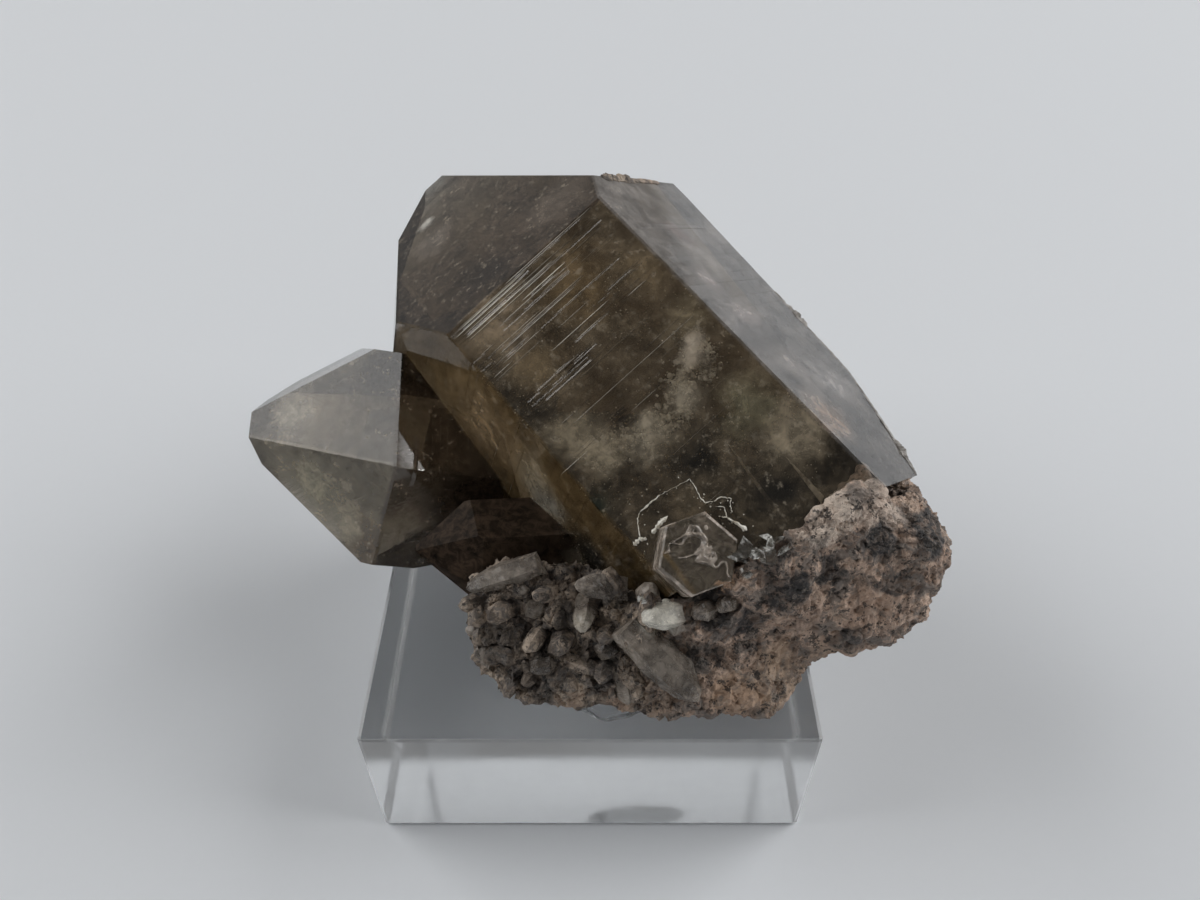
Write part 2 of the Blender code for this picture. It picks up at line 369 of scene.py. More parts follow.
crystalSet = {
    "main": {
        "point": (-3.2, 22.9, 43.2), "heading": 134.5, "climb": 21.8, "turn": 148.0,
        "sides": {0: 17.0, 60: 16.5, 120: 20.0, -60: 20.1}, "ends": {0: 13.3, -60: 21.0},
    },
    "side": {
        "point": (-25.9, 7.6, 30.6), "heading": -168.5, "climb": 20.7, "turn": 157.0,
        "sides": {0: 9.0, -60: 9.1}, "ends": {0: 7.1, -60: 7.1},
    },
    "etched": {"point": (10.6, -16.0, 39.8), "heading": -80.0, "climb": 52.0, "turn": 12.0},
    "endLean": 51.79,  # degrees between an end face and a flat end
    "ior": 1.544,
    "absorb": (0.536, 0.464, 0.352),
    "density": 250.0,
}

# Growth ledges on a side face: first and last place along the crystal, reach across the face,
# how many, and their width, all but the count in mm.
ledgeSet = {
    ("main", 0): (
        (-0.15, -2.4, -13.8, 9.0, 20, 0.095),
        (-2.4, -6.0, -13.8, 2.5, 32, 0.095),
        (-2.6, -5.6, -2.0, 9.3, 11, 0.07),
        (-6.0, -11.0, -6.0, 9.0, 13, 0.075),
        (-5.8, -8.0, -13.5, -3.0, 11, 0.085),
        (-8.4, -9.4, -2.0, 7.0, 3, 0.14),
        (-11.4, -13.4, -12.0, -0.5, 9, 0.10),
        (-13.6, -22.0, -14.0, 9.5, 8, 0.05),
        (-19.0, -20.4, -14.0, -1.5, 3, 0.09),
        (-23.0, -40.0, -14.0, 9.5, 5, 0.04),
    ),
    ("main", 60): ((-1.5, -40.0, -10.0, 14.0, 22, 0.05),),
    ("main", -60): ((0.0, -34.0, -9.0, 9.0, 20, 0.05),),
    ("side", 0): ((-1.0, -14.0, -8.0, 8.0, 12, 0.05),),
    ("side", -60): ((-1.0, -14.0, -8.0, 8.0, 12, 0.04),),
}
ledgeFade = 2.5  # mm over which a ledge dies out at its ends
ledgeSteep = 0.75  # depth of a ledge as a share of its width
ledgeGrid = 1.6  # mm between cuts across a face


def crystalMatrix(name):
    shape = crystalSet[name]
    swing = Matrix.Rotation(math.radians(shape["heading"]), 4, "Z")
    tip = Matrix.Rotation(math.radians(90.0 - shape["climb"]), 4, "Y")
    spin = Matrix.Rotation(math.radians(shape["turn"]), 4, "Z")
    return Matrix.Translation(Vector(shape["point"]) * mm) @ swing @ tip @ spin


def faceMatrix(name, turn):  # x across the face, y along the crystal, z outward
    around = math.radians(turn)
    outward = Vector((math.cos(around), math.sin(around), 0.0))
    across = Vector((-math.sin(around), math.cos(around), 0.0))
    along = Vector((0.0, 0.0, 1.0))
    basis = Matrix((across, along, outward)).transposed().to_4x4()
    return crystalMatrix(name) @ basis


class LedgedFace:  # one side face of a crystal and the ledges drawn on it
    def __init__(self, name, turn, bands, rng):
        self.matrix = faceMatrix(name, turn)
        self.distance = crystalSet[name]["sides"].get(turn, 0.0) + 0.01
        self.back = self.matrix.inverted()
        self.normal = (self.matrix.to_3x3() @ Vector((0.0, 0.0, 1.0))).normalized()
        self.ledges = []
        for first, last, left, right, count, width in bands:
            for index in range(count):
                place = first + (index + rng.uniform(0.1, 0.9)) / count * (last - first)
                short = rng.uniform(0.0, 0.5) * (right - left)
                start, end = (left, right - short) if rng.random() < 0.5 else (left + short, right)
                self.ledges.append((place, start, end, width * rng.uniform(0.5, 1.3)))
        self.ledges.sort(reverse=True)
        self.ledges = [ledge for ledge, following in zip(self.ledges, self.ledges[1:])
                       if ledge[0] - following[0] > 1.4 * ledge[3]]

    def onto(self, across, along):  # a point on the flat face
        return self.matrix @ (Vector((across, along, self.distance)) * mm)

    def facing(self, bm):
        return [face for face in bm.faces if face.normal.dot(self.normal) > 0.9995]

    def cut(self, bm, low, high):
        turn = self.matrix.to_3x3()
        for place, _, _, width in self.ledges:
            for step in (place, place - width):
                self.slice(bm, self.matrix @ Vector((0.0, step * mm, 0.0)), turn @ Vector((0.0, 1.0, 0.0)))
        for step in np.arange(low, high, ledgeGrid):
            self.slice(bm, self.matrix @ Vector((step * mm, 0.0, 0.0)), turn @ Vector((1.0, 0.0, 0.0)))

    def slice(self, bm, point, normal):
        faces = self.facing(bm)
        edges = {edge for face in faces for edge in face.edges}
        verts = {vert for face in faces for vert in face.verts}
        parts = list(faces) + list(edges) + list(verts)
        bmesh.ops.bisect_plane(bm, geom=parts, dist=1e-8, plane_co=point, plane_no=normal)

    def strength(self, ledge, across):  # how much of the ledge is left at this place across the face
        _, start, end, _ = ledge
        return min(1.0, max(0.0, (across - start) / ledgeFade), max(0.0, (end - across) / ledgeFade))

    def depth(self, spot):  # mm below the flat face
        across, along = spot.x / mm, spot.y / mm
        for ledge, following in zip(self.ledges, self.ledges[1:] + [(-60.0, 0.0, 0.0, 0.0)]):
            place, _, _, width = ledge
            if along > place - 1e-4:
                return 0.0
            if along > following[0] + 1e-4:
                foot = place - width
                rise = min(1.0, max(0.0, (foot - along) / min(3.0, foot - following[0])))
                return -ledgeSteep * width * self.strength(ledge, across) * (1.0 - rise)
        return 0.0

    def isWall(self, face):
        spot = self.back @ face.calc_center_median()
        across, along = spot.x / mm, spot.y / mm
        for ledge in self.ledges:
            if ledge[0] - ledge[3] < along < ledge[0]:
                return self.strength(ledge, across) > 0.15
        return False


lineSet = {
    "height": 0.35,  # as a share of the width
    "step": 0.9,
    "share": 0.95,  # how much of each ledge carries a painted glint line
}


def addSliver(bm, spots, outward, widths):  # a thin raised run with pointed ends
    rings = []
    for index, spot in enumerate(spots):
        before = spots[max(0, index - 1)]
        after = spots[min(len(spots) - 1, index + 1)]
        side = (after - before).cross(outward).normalized()
        width = widths[index] * (0.15 if index in (0, len(spots) - 1) else 1.0) * mm
        lift = outward * width * lineSet["height"]
        ring = (spot + 0.5 * width * side, spot + lift, spot - 0.5 * width * side, spot - lift)
        rings.append([bm.verts.new(point) for point in ring])
    for lower, upper in zip(rings, rings[1:]):
        for corner in range(4):
            following = (corner + 1) % 4
            bm.faces.new((lower[corner], lower[following], upper[following], upper[corner]))
    bm.faces.new(rings[0][::-1])
    bm.faces.new(rings[-1])


def makeGrowthLines(ledged, material):  # raised lines along the ledges, coloured pale as painted glints
    rng = random.Random(77)
    bm = bmesh.new()
    for place, start, end, width in ledged.ledges:
        run = []
        across = start
        while across < end:
            tone = noise.noise(Vector((across * 0.09, place * 1.7, 7.0))) + 0.5
            # painted highlight: fewer glint lines further down the crystal
            share = lineSet["share"] * max(0.42, 1.0 + 0.05 * place)
            if tone < share * ledged.strength((place, start, end, width), across) + 0.06:
                run.append((across, place))
            elif len(run) > 1:
                closeRun(bm, ledged, run, width, rng)
                run = []
            else:
                run = []
            across += lineSet["step"]
        if len(run) > 1:
            closeRun(bm, ledged, run, width, rng)
    bmesh.ops.recalc_face_normals(bm, faces=bm.faces[:])
    return newPiece("glint_growth_lines", meshFrom(bm, "glint_growth_lines"), material, "smoky_quartz")


def closeRun(bm, ledged, run, width, rng):
    spots = [ledged.onto(across, along) for across, along in run]
    size = width * rng.uniform(0.3, 0.85)
    widths = [size * rng.uniform(0.85, 1.1) for _ in run]
    addSliver(bm, spots, ledged.normal, widths)


def glintLineFinish():
    finish = newFinish("growth lines with painted glint")
    axis = crystalMatrix("main").to_3x3() @ Vector((0.0, 0.0, 1.0))
    rows = finish.along(tuple(axis.normalized()))
    breaks = finish.cloud(110.0, 3.0, 0.6)
    fine = finish.node("ShaderNodeTexNoise", {"noise_dimensions": "1D"}, {"W": rows, "Scale": 1900.0, "Detail": 2.0})
    # painted highlight: the lines turn pale where glints would light them, more so near the upper middle of the front
    # face
    near = 1 - finish.far(tuple(faceSpot("main", 0, -8.0, -3.0))).between(3.0 * mm, 17.0 * mm)
    bright = (breaks * 0.45 + fine * 0.55 + near * 0.14).between(0.46, 0.66)
    colour = finish.blend(bright, (0.15, 0.115, 0.07), (0.95, 0.89, 0.78))
    return finish.done(finish.shader(Base_Color=colour, Roughness=0.3 + fine * 0.2))


def crystalBody():
    bm = bmesh.new()
    bm.from_mesh(cadNodes["smoky_crystals"].data)
    bmesh.ops.remove_doubles(bm, verts=bm.verts[:], dist=2e-6)
    bmesh.ops.dissolve_limit(bm, angle_limit=math.radians(0.4), verts=bm.verts[:], edges=bm.edges[:])
    bm.normal_update()
    return bm


def makeCrystals(material, wallMaterial, glintLineMaterial):
    rng = random.Random(41)
    bm = crystalBody()
    ledgedFaces = [LedgedFace(name, turn, bands, rng) for (name, turn), bands in ledgeSet.items()]
    makeGrowthLines(ledgedFaces[0], glintLineMaterial)
    owners = {}
    for ledged in ledgedFaces:
        ledged.cut(bm, -18.0, 18.0)
    bm.normal_update()
    for face in bm.faces:
        face.material_index = 0
        owner = next((item for item in ledgedFaces if item.normal.dot(face.normal) > 0.9995), None)
        if owner is not None:
            owners[face] = owner
            face.material_index = 1 if owner.isWall(face) else 0
    moves = []
    for vert in {vert for face in owners for vert in face.verts}:
        normals, heights = [], []
        for face in vert.link_faces:
            if all(face.normal.dot(Vector(known)) < 0.999 for known in normals):
                owner = owners.get(face)
                normals.append(tuple(face.normal))
                heights.append(owner.depth(owner.back @ vert.co) * mm if owner else 0.0)
        shift = np.linalg.pinv(np.array(normals), rcond=0.05) @ np.array(heights)
        moves.append((vert, Vector(shift)))
    for vert, shift in moves:
        vert.co += shift
    bm.normal_update()
    piece = newPiece("smoky_quartz", meshFrom(bm, "smoky_quartz"), material, "smoky_quartz", "smoky_crystals")
    piece.data.materials.append(wallMaterial)
    print("crystals:", len(piece.data.polygons), "faces")
    return piece


def smokeVolume(finish):
    absorb = {"Color": crystalSet["absorb"], "Density": crystalSet["density"]}
    return finish.node("ShaderNodeVolumeAbsorption", None, absorb)


# How cloudy a face looks, and for the main crystal's 60° side partly a painted reflection: crystal, kind and turn
# of the face, darkest and lightest tone of the cloud, and its thinnest and thickest share.
facePaint = (
    ("main", "sides", 0, (0.074, 0.056, 0.034), (0.275, 0.212, 0.138), 0.14, 0.62),
    ("main", "ends", 0, (0.020, 0.016, 0.012), (0.150, 0.112, 0.082), 0.42, 0.75),
    # painted reflection in part: this face's light grey tone stands partly for the bright background it mirrors
    ("main", "sides", 60, (0.17, 0.155, 0.14), (0.52, 0.47, 0.43), 0.16, 0.55),
    ("main", "sides", -60, (0.10, 0.066, 0.030), (0.30, 0.20, 0.09), 0.20, 0.55),
    ("side", "ends", 0, (0.03, 0.024, 0.018), (0.24, 0.20, 0.15), 0.45, 0.75),
    ("side", "ends", -60, (0.16, 0.13, 0.085), (0.46, 0.395, 0.285), 0.34, 0.60),
    ("side", "sides", 0, (0.034, 0.022, 0.013), (0.150, 0.098, 0.060), 0.50, 0.82),
    ("side", "sides", -60, (0.030, 0.021, 0.014), (0.150, 0.110, 0.076), 0.50, 0.82),
    ("main", "ends", -60, (0.016, 0.011, 0.005), (0.060, 0.040, 0.018), 0.45, 0.70),
)

# Patches seen in a side face: crystal, turn of the face, place across and along it, radius, tone, share.
patchPaint = (
    ("main", 0, -8.0, -3.5, 6.0, (0.42, 0.32, 0.21), 0.48),
    ("main", 0, -9.0, -9.5, 5.0, (0.24, 0.175, 0.10), 0.38),
    ("main", 0, 1.0, -6.0, 7.0, (0.24, 0.165, 0.085), 0.40),
    ("main", 0, 7.0, -10.0, 4.0, (0.26, 0.19, 0.11), 0.40),
    ("main", 0, 6.5, -17.0, 4.0, (0.30, 0.24, 0.15), 0.50),
    ("main", 0, 4.6, -20.2, 2.6, (0.62, 0.52, 0.40), 0.60),
    ("main", 0, 1.0, -22.6, 3.0, (0.54, 0.46, 0.34), 0.62),
    ("main", 0, -4.5, -23.2, 3.8, (0.52, 0.44, 0.32), 0.65),
    ("main", 0, -9.4, -22.0, 3.8, (0.46, 0.38, 0.26), 0.62),
    ("main", 0, 4.8, -28.0, 5.0, (0.23, 0.20, 0.125), 0.65),
    ("main", 0, 7.0, -33.0, 4.8, (0.44, 0.36, 0.25), 0.68),
    # painted reflection in part: the grey patches on the main crystal's 60° side stand partly for the bright background
    # it mirrors
    ("main", 60, -7.5, -34.5, 4.6, (0.34, 0.25, 0.19), 0.80),
    ("main", 60, 2.0, -31.0, 6.0, (0.50, 0.46, 0.43), 0.50),
    ("main", 0, -2.6, -28.6, 5.0, (0.018, 0.015, 0.011), 0.80),
    ("main", 0, 1.2, -37.0, 5.0, (0.020, 0.017, 0.013), 0.80),
    ("main", 0, -12.9, -26.0, 3.4, (0.024, 0.028, 0.018), 0.85),
    ("main", 60, -3.3, -13.4, 3.2, (0.50, 0.43, 0.40), 0.45),
    ("main", 60, -3.5, -19.5, 3.8, (0.46, 0.40, 0.37), 0.45),
    ("main", 60, -3.6, -27.0, 4.0, (0.40, 0.36, 0.33), 0.45),
    ("main", 60, 0.4, -6.0, 3.4, (0.22, 0.16, 0.14), 0.55),
    ("main", -60, 0.2, -9.0, 9.0, (0.34, 0.235, 0.13), 0.55),
    ("main", -60, 0.8, -17.5, 5.0, (0.34, 0.28, 0.19), 0.60),
    ("main", -60, 0.0, -20.5, 4.0, (0.28, 0.26, 0.215), 0.66),
    ("main", 0, -10.5, -18.5, 4.5, (0.34, 0.28, 0.19), 0.50),
    ("main", -60, -1.5, -27.5, 6.5, (0.030, 0.027, 0.022), 0.92),
    ("side", -60, -6.0, -13.0, 7.0, (0.012, 0.008, 0.006), 0.92),
)
# The same on an end face, with the place in mm.
endPatchPaint = (
    ("side", 0, (-24.8, 12.2, 40.7), 7.0, (0.034, 0.027, 0.020), 0.90),
    ("side", 0, (-35.8, 9.0, 36.6), 4.5, (0.36, 0.32, 0.25), 0.50),
    ("side", -60, (-26.8, -2.0, 24.8), 7.0, (0.14, 0.105, 0.070), 0.85),
    ("side", -60, (-33.2, 2.9, 30.8), 4.5, (0.42, 0.37, 0.255), 0.42),
    ("side", -60, (-30.4, 0.8, 27.2), 4.5, (0.38, 0.33, 0.235), 0.34),
    ("main", 0, (-21.5, 33.4, 48.2), 1.5, (0.80, 0.76, 0.68), 0.70),
    ("main", 0, (-20.5, 27.7, 48.5), 4.2, (0.24, 0.20, 0.165), 0.60),
    ("main", 0, (-3.6, 20.6, 58.2), 6.0, (0.17, 0.135, 0.105), 0.40),
    ("main", 0, (-12.0, 14.5, 52.3), 5.5, (0.045, 0.036, 0.030), 0.70),
)
stubShadeSpot = ((-11.6, -6.6, 29.6), 8.0, 11.5)  # middle of the stub that is painted dark as shade, and where the painted shade ends


def facePlane(name, kind, turn):  # outward direction and distance from the middle of the world, in metres
    lean = math.radians(90.0 if kind == "sides" else crystalSet["endLean"])
    around = math.radians(turn)
    place = crystalMatrix(name)
    way = Vector((math.sin(lean) * math.cos(around), math.sin(lean) * math.sin(around), math.cos(lean)))
    outward = (place.to_3x3() @ way).normalized()
    return outward, outward.dot(place.translation) + crystalSet[name][kind][turn] * mm


def faceSpot(name, turn, across, along, lift=0.0):  # a point on a side face, in metres
    distance = crystalSet[name]["sides"][turn]
    return faceMatrix(name, turn) @ (Vector((across, along, distance + lift)) * mm)


def onFace(finish, name, kind, turn):  # 1 on the named face, 0 elsewhere
    key = (name, kind, turn)
    if key not in finish.masks:
        outward, distance = facePlane(name, kind, turn)
        gap = finish.along(tuple(outward)) - distance
        finish.masks[key] = 1 - (gap * gap).between((0.18 * mm) ** 2, (0.32 * mm) ** 2)
    return finish.masks[key]


def quartzFinish():
    finish = newFinish("smoky quartz")
    axis = crystalMatrix("main").to_3x3() @ Vector((0.0, 0.0, 1.0))
    along = finish.along(tuple(axis.normalized()))
    fine = finish.node("ShaderNodeTexNoise", {"noise_dimensions": "1D"}, {"W": along, "Scale": 2400.0, "Detail": 3.0})
    wisps = finish.cloud(150.0, 5.0, 0.62, twist=0.3)
    drift = finish.cloud(70.0, 3.0, 0.58, twist=0.8)
    fuzz = finish.cloud(1100.0, 2.0, 0.75)
    thread = finish.cloud(300.0, 4.0, 0.6, twist=1.2)
    grit = finish.cloud(850.0, 3.0, 0.75, twist=0.6)
    outward, distance = facePlane("main", "sides", -60)
    beyond = (finish.along(tuple(outward)) - distance).between(0.05 * mm, 0.3 * mm)  # 1 in the side crystal
    stubPlace, stubNear, stubFar = stubShadeSpot
    stubShade = 1 - finish.far(tuple(c * mm for c in stubPlace)).between(stubNear * mm, stubFar * mm)
    stubShade = stubShade * beyond
    polish = 0.04 + wisps * 0.06 * (1 - beyond) + wisps * 0.015
    glass = finish.shader(
        Base_Color=finish.blend(wisps, (0.9, 0.86, 0.76), (0.99, 0.97, 0.93)),
        Roughness=polish,
        IOR=crystalSet["ior"],
        Transmission_Weight=1.0,
        Normal=finish.relief(fine, 0.1, 0.05 * mm),
    )
    depth = wisps.between(0.36, 0.70)
    mottle = drift.between(0.36, 0.64) * 0.25 + thread.between(0.36, 0.64) * 0.3 + grit.between(0.38, 0.64) * 0.45
    tone = finish.blend(mottle, (0.05, 0.042, 0.032), (0.16, 0.13, 0.09))
    share = 0.2 + depth * 0.4
    regions = {"side": beyond, "main": 1 - beyond}
    pattern = 0.5 + thread.between(0.38, 0.62) * 0.5
    for name, kind, turn, darkest, lightest, thin, thick in facePaint:
        region = regions[name]
        here = onFace(finish, name, kind, turn) * region
        tone = finish.blend(here, tone, finish.blend(mottle, darkest, lightest))
        share = share + here * ((thin + depth * (thick - thin)) - share)
    spot = finish.shifted(170.0, 5.0 * mm, finish.shifted(700.0, 1.2 * mm))
    patches = [
        (name, "sides", turn, faceSpot(name, turn, across, reach), radius, patchTone, patchShare)
        for name, turn, across, reach, radius, patchTone, patchShare in patchPaint
    ]
    patches += [
        (name, "ends", turn, Vector(place) * mm, radius, patchTone, patchShare)
        for name, turn, place, radius, patchTone, patchShare in endPatchPaint
    ]
    for name, kind, turn, place, radius, patchTone, patchShare in patches:
        gap = finish.far(tuple(place), spot)
        here = (1 - gap.between(0.15 * radius * mm, radius * mm)) * regions[name] * onFace(finish, name, kind, turn)
        mark = here * pattern * patchShare
        dim = tuple(0.6 * c for c in patchTone)
        tone = finish.blend(here, tone, finish.blend(mottle, dim, tuple(1.25 * c for c in patchTone)))
        share = share + mark * (1 - share)
    grain = finish.shader(
        Base_Color=finish.blend(fuzz.between(0.55, 0.72) * 0.3, tone, (0.70, 0.60, 0.46)),
        Roughness=polish,
        IOR=crystalSet["ior"],
    )
    haze = (share * (0.85 + fuzz * 0.3)).least(0.92)
    # painted shade: a near-black, barely reflecting finish over the stub of the side crystal, which lies in shade
    stub_painted_shade = finish.shader(
        Base_Color=finish.blend(mottle, (0.004, 0.003, 0.002), (0.075, 0.050, 0.034)),
        Roughness=0.5 + wisps * 0.3,
        Specular_IOR_Level=0.02,
    )
    body = finish.layered(haze, glass, grain)
    return finish.done(finish.layered(stubShade * 0.96, body, stub_painted_shade), smokeVolume(finish))


def ledgeFinish():
    finish = newFinish("ledge walls with painted glint")
    breaks = finish.cloud(900.0, 3.0)
    glass = finish.shader(
        Base_Color=(0.95, 0.92, 0.86), Roughness=0.15 + breaks * 0.1, IOR=crystalSet["ior"], Transmission_Weight=1.0,
    )
    # painted highlight: a pale rough layer on the ledge walls stands in for the glints they catch
    glint_paint = finish.shader(
        Base_Color=finish.blend(breaks, (0.4, 0.34, 0.24), (0.85, 0.8, 0.68)), Roughness=0.3,
    )
    return finish.done(finish.layered(breaks.between(0.4, 0.6) * 0.6 + 0.25, glass, glint_paint), smokeVolume(finish))


# what lies inside the main crystal, just under its front face

innerSet = {
    # cloud of little crystals: across, along and depth of each clump, its radius and count
    "clumps": (
        (5.3, -19.0, 0.9, 1.2, 60),
        (5.6, -20.8, 1.0, 1.2, 60),
        (3.4, -20.4, 1.1, 1.0, 40),
        (4.2, -22.8, 1.2, 0.9, 34),
        (1.0, -22.0, 1.2, 1.4, 60),
        (-0.4, -24.2, 1.4, 1.4, 50),
        (-2.8, -23.2, 1.4, 1.4, 44),
        (-4.8, -23.6, 1.3, 1.3, 40),
        (-6.6, -21.9, 1.2, 1.3, 30),
        (-8.6, -20.9, 1.1, 1.2, 24),
        (-9.8, -22.6, 1.2, 1.2, 22),
    ),
    "shard": (0.10, 0.46),  # smallest and largest radius
    "dust": 2400,
    "dustRadius": (0.045, 0.12),
    "specks": 120,  # the same on the narrow face
    "dustDepth": (0.04, 1.6),
    # blades: start and end across and along, depth, and width at the end
    "blades": (
        ((4.3, -34.3), (3.9, -40.4), 0.6, 0.8),
        ((1.0, -29.2), (-0.2, -38.2), 1.2, 0.7),
    ),
}


def addShard(bm, spot, radii, rng):
    turn = Matrix.Rotation(rng.uniform(0.0, math.tau), 4, Vector([rng.gauss(0.0, 1.0) for _ in range(3)]).normalized())
    size = Matrix.Diagonal((*radii, 1.0))
    made = bmesh.ops.create_icosphere(bm, subdivisions=1, radius=1.0, matrix=Matrix.Translation(spot) @ turn @ size)
    for vert in made["verts"]:
        vert.co += Vector([rng.uniform(-0.18, 0.18) * min(radii) for _ in range(3)])


def makeInnerClouds(material):
    rng = random.Random(23)
    bm = bmesh.new()
    low, high = innerSet["shard"]
    for across, along, depth, spread, count in innerSet["clumps"]:
        for _ in range(2 * count):
            size = low + (high - low) * rng.random() ** 1.6
            spot = faceSpot(
                "main", 0, across + rng.gauss(0.0, 0.62) * spread, along + rng.gauss(0.0, 0.62) * spread,
                -1.25 * size - rng.uniform(0.02, 0.7) * depth,
            )
            addShard(bm, spot, [size * rng.uniform(0.5, 1.2) * mm for _ in range(3)], rng)
    for _ in range(innerSet["dust"]):
        across = rng.uniform(-13.5, 9.0)
        along = -abs(rng.uniform(0.5, 38.0))
        if noise.noise(Vector((across, along, 3.0)) * 0.22) < rng.uniform(-0.35, 0.35):
            continue
        spot = faceSpot("main", 0, across, along, -rng.uniform(*innerSet["dustDepth"]))
        size = rng.uniform(*innerSet["dustRadius"]) * mm
        bmesh.ops.create_cone(
            bm, cap_ends=True, segments=4, radius1=size, radius2=0.3 * size, depth=size,
            matrix=Matrix.Translation(spot) @ Matrix.Rotation(rng.uniform(0.0, 3.0), 4, "X"),
        )
    for _ in range(innerSet["specks"]):
        spot = faceSpot("main", -60, rng.uniform(-4.0, 1.5), -rng.uniform(17.0, 31.0), -rng.uniform(0.05, 0.5))
        addShard(bm, spot, [rng.uniform(*innerSet["dustRadius"]) * mm for _ in range(3)], rng)
    for start, end, depth, width in innerSet["blades"]:
        tip = faceSpot("main", 0, *start, -depth)
        left = faceSpot("main", 0, end[0] - 0.4 * width, end[1], -depth - 0.2)
        right = faceSpot("main", 0, end[0] + 0.6 * width, end[1] + 0.4, -depth - 0.9)
        inward = faceMatrix("main", 0).to_3x3() @ Vector((0.0, 0.0, -0.12 * mm))
        front = [bm.verts.new(spot) for spot in (tip, left, right)]
        rear = [bm.verts.new(spot + inward) for spot in (tip, left, right)]
        bm.faces.new(front)
        bm.faces.new(rear[::-1])
        for corner in range(3):
            following = (corner + 1) % 3
            bm.faces.new((front[following], front[corner], rear[corner], rear[following]))
    bmesh.ops.recalc_face_normals(bm, faces=bm.faces[:])
    return newPiece("inner_clouds", meshFrom(bm, "inner_clouds"), material, "smoky_quartz")


def innerFinish():
    finish = newFinish("pale inclusions")
    tone = finish.cloud(700.0, 5.0, 0.65)
    surface = finish.shader(
        Base_Color=finish.blend(tone.between(0.38, 0.60), (0.16, 0.125, 0.085), (0.95, 0.86, 0.72)),
        Roughness=0.4,
        Normal=finish.relief(tone, 0.6, 0.15 * mm),
    )
    return finish.done(surface)


# cracks and flakes round the etched crystal, on the front face

crackSet = {
    # runs of points across and along the face, and the width at each end, mm
    "runs": (
        (((-10.5, -28.9), (-9.0, -28.9), (-7.7, -29.0)), 0.22, 0.12),
        (((-7.7, -29.0), (-6.4, -29.3), (-5.3, -29.6), (-4.4, -29.8)), 0.08, 0.06),
        (((-4.4, -29.8), (-4.6, -30.9), (-4.9, -31.8), (-4.9, -32.7), (-4.2, -33.1)), 0.09, 0.13),
        (((-4.2, -33.1), (-3.3, -33.3), (-2.7, -34.1), (-3.3, -34.6), (-3.6, -35.2)), 0.10, 0.10),
        (((-4.4, -33.6), (-3.8, -34.3), (-4.3, -35.2), (-4.7, -34.8)), 0.07, 0.12),
        (((-4.3, -35.2), (-3.9, -36.4), (-3.7, -37.5)), 0.14, 0.50),
        (((-11.0, -31.3), (-10.0, -31.2), (-8.6, -31.1)), 0.55, 0.34),
        (((-13.2, -31.0), (-12.3, -30.9), (-11.8, -31.4)), 0.50, 0.25),
        (((-10.5, -28.9), (-11.1, -29.2), (-11.8, -30.2), (-12.4, -31.1)), 0.07, 0.14),
    ),
    "lift": 0.03,
    "flakes": 34,
}


def makeCracks(material):
    rng = random.Random(8)
    bm = bmesh.new()
    outward = (faceMatrix("main", 0).to_3x3() @ Vector((0.0, 0.0, 1.0))).normalized()
    for run, firstWidth, lastWidth in crackSet["runs"]:
        fine = []
        for start, end in zip(run, run[1:]):
            for step in range(5):
                share = step / 5
                jitter = 0.06 if step else 0.0
                fine.append(faceSpot(
                    "main", 0, start[0] + share * (end[0] - start[0]) + rng.uniform(-jitter, jitter),
                    start[1] + share * (end[1] - start[1]) + rng.uniform(-jitter, jitter), crackSet["lift"],
                ))
        fine.append(faceSpot("main", 0, *run[-1], crackSet["lift"]))
        count = len(fine)
        widths = [
            (firstWidth + index / count * (lastWidth - firstWidth)) * rng.uniform(0.35, 1.35) for index in range(count)
        ]
        addSliver(bm, fine, outward, widths)
    for _ in range(crackSet["flakes"]):
        run = rng.choice(crackSet["runs"])[0]
        across, along = rng.choice(run)
        spot = faceSpot("main", 0, across + rng.gauss(0.0, 0.5), along + rng.gauss(0.0, 0.5), 0.0)
        addShard(bm, spot, [rng.uniform(0.03, 0.11) * mm for _ in range(3)], rng)
    bmesh.ops.recalc_face_normals(bm, faces=bm.faces[:])
    return newPiece("broken_rim", meshFrom(bm, "broken_rim"), material, "smoky_quartz")


def crackFinish():
    finish = newFinish("white broken quartz")
    tone = finish.cloud(1500.0, 4.0)
    surface = finish.shader(
        Base_Color=finish.blend(tone.between(0.35, 0.65), (0.42, 0.37, 0.28), (0.9, 0.87, 0.78)),
        Roughness=0.35,
        Normal=finish.relief(tone, 0.5, 0.1 * mm),
    )
    return finish.done(surface)


# broken spurs and clinging rock along the far edges of the main crystal

spurSet = {
    # start and end of each ridge, its rise and the reach of its foot, mm
    "spurs": (
        ((22.3, 22.2, 45.7), (24.6, 19.3, 44.4), 0.45, 0.5),
        ((24.0, 20.1, 44.8), (26.4, 17.0, 43.6), 0.80, 0.6),
        ((26.2, 17.2, 43.7), (30.8, 11.2, 41.2), 0.18, 0.4),
        ((30.8, 11.2, 41.2), (33.9, -0.1, 40.5), 0.16, 0.4),
        ((33.8, 0.1, 40.5), (34.5, -2.9, 40.4), 0.95, 0.6),
        ((34.4, -2.2, 40.4), (35.0, -5.3, 40.3), 0.25, 0.4),
    ),
    "crumbs": (
        ((1.2, 23.2, 60.3), (3.4, 26.4, 58.4), 0.55, 0.8),
        ((2.8, 25.5, 58.9), (5.0, 28.7, 57.0), 0.80, 0.9),
        ((4.6, 28.1, 57.4), (8.4, 33.6, 54.2), 0.28, 0.6),
    ),
    "step": 0.22,
}


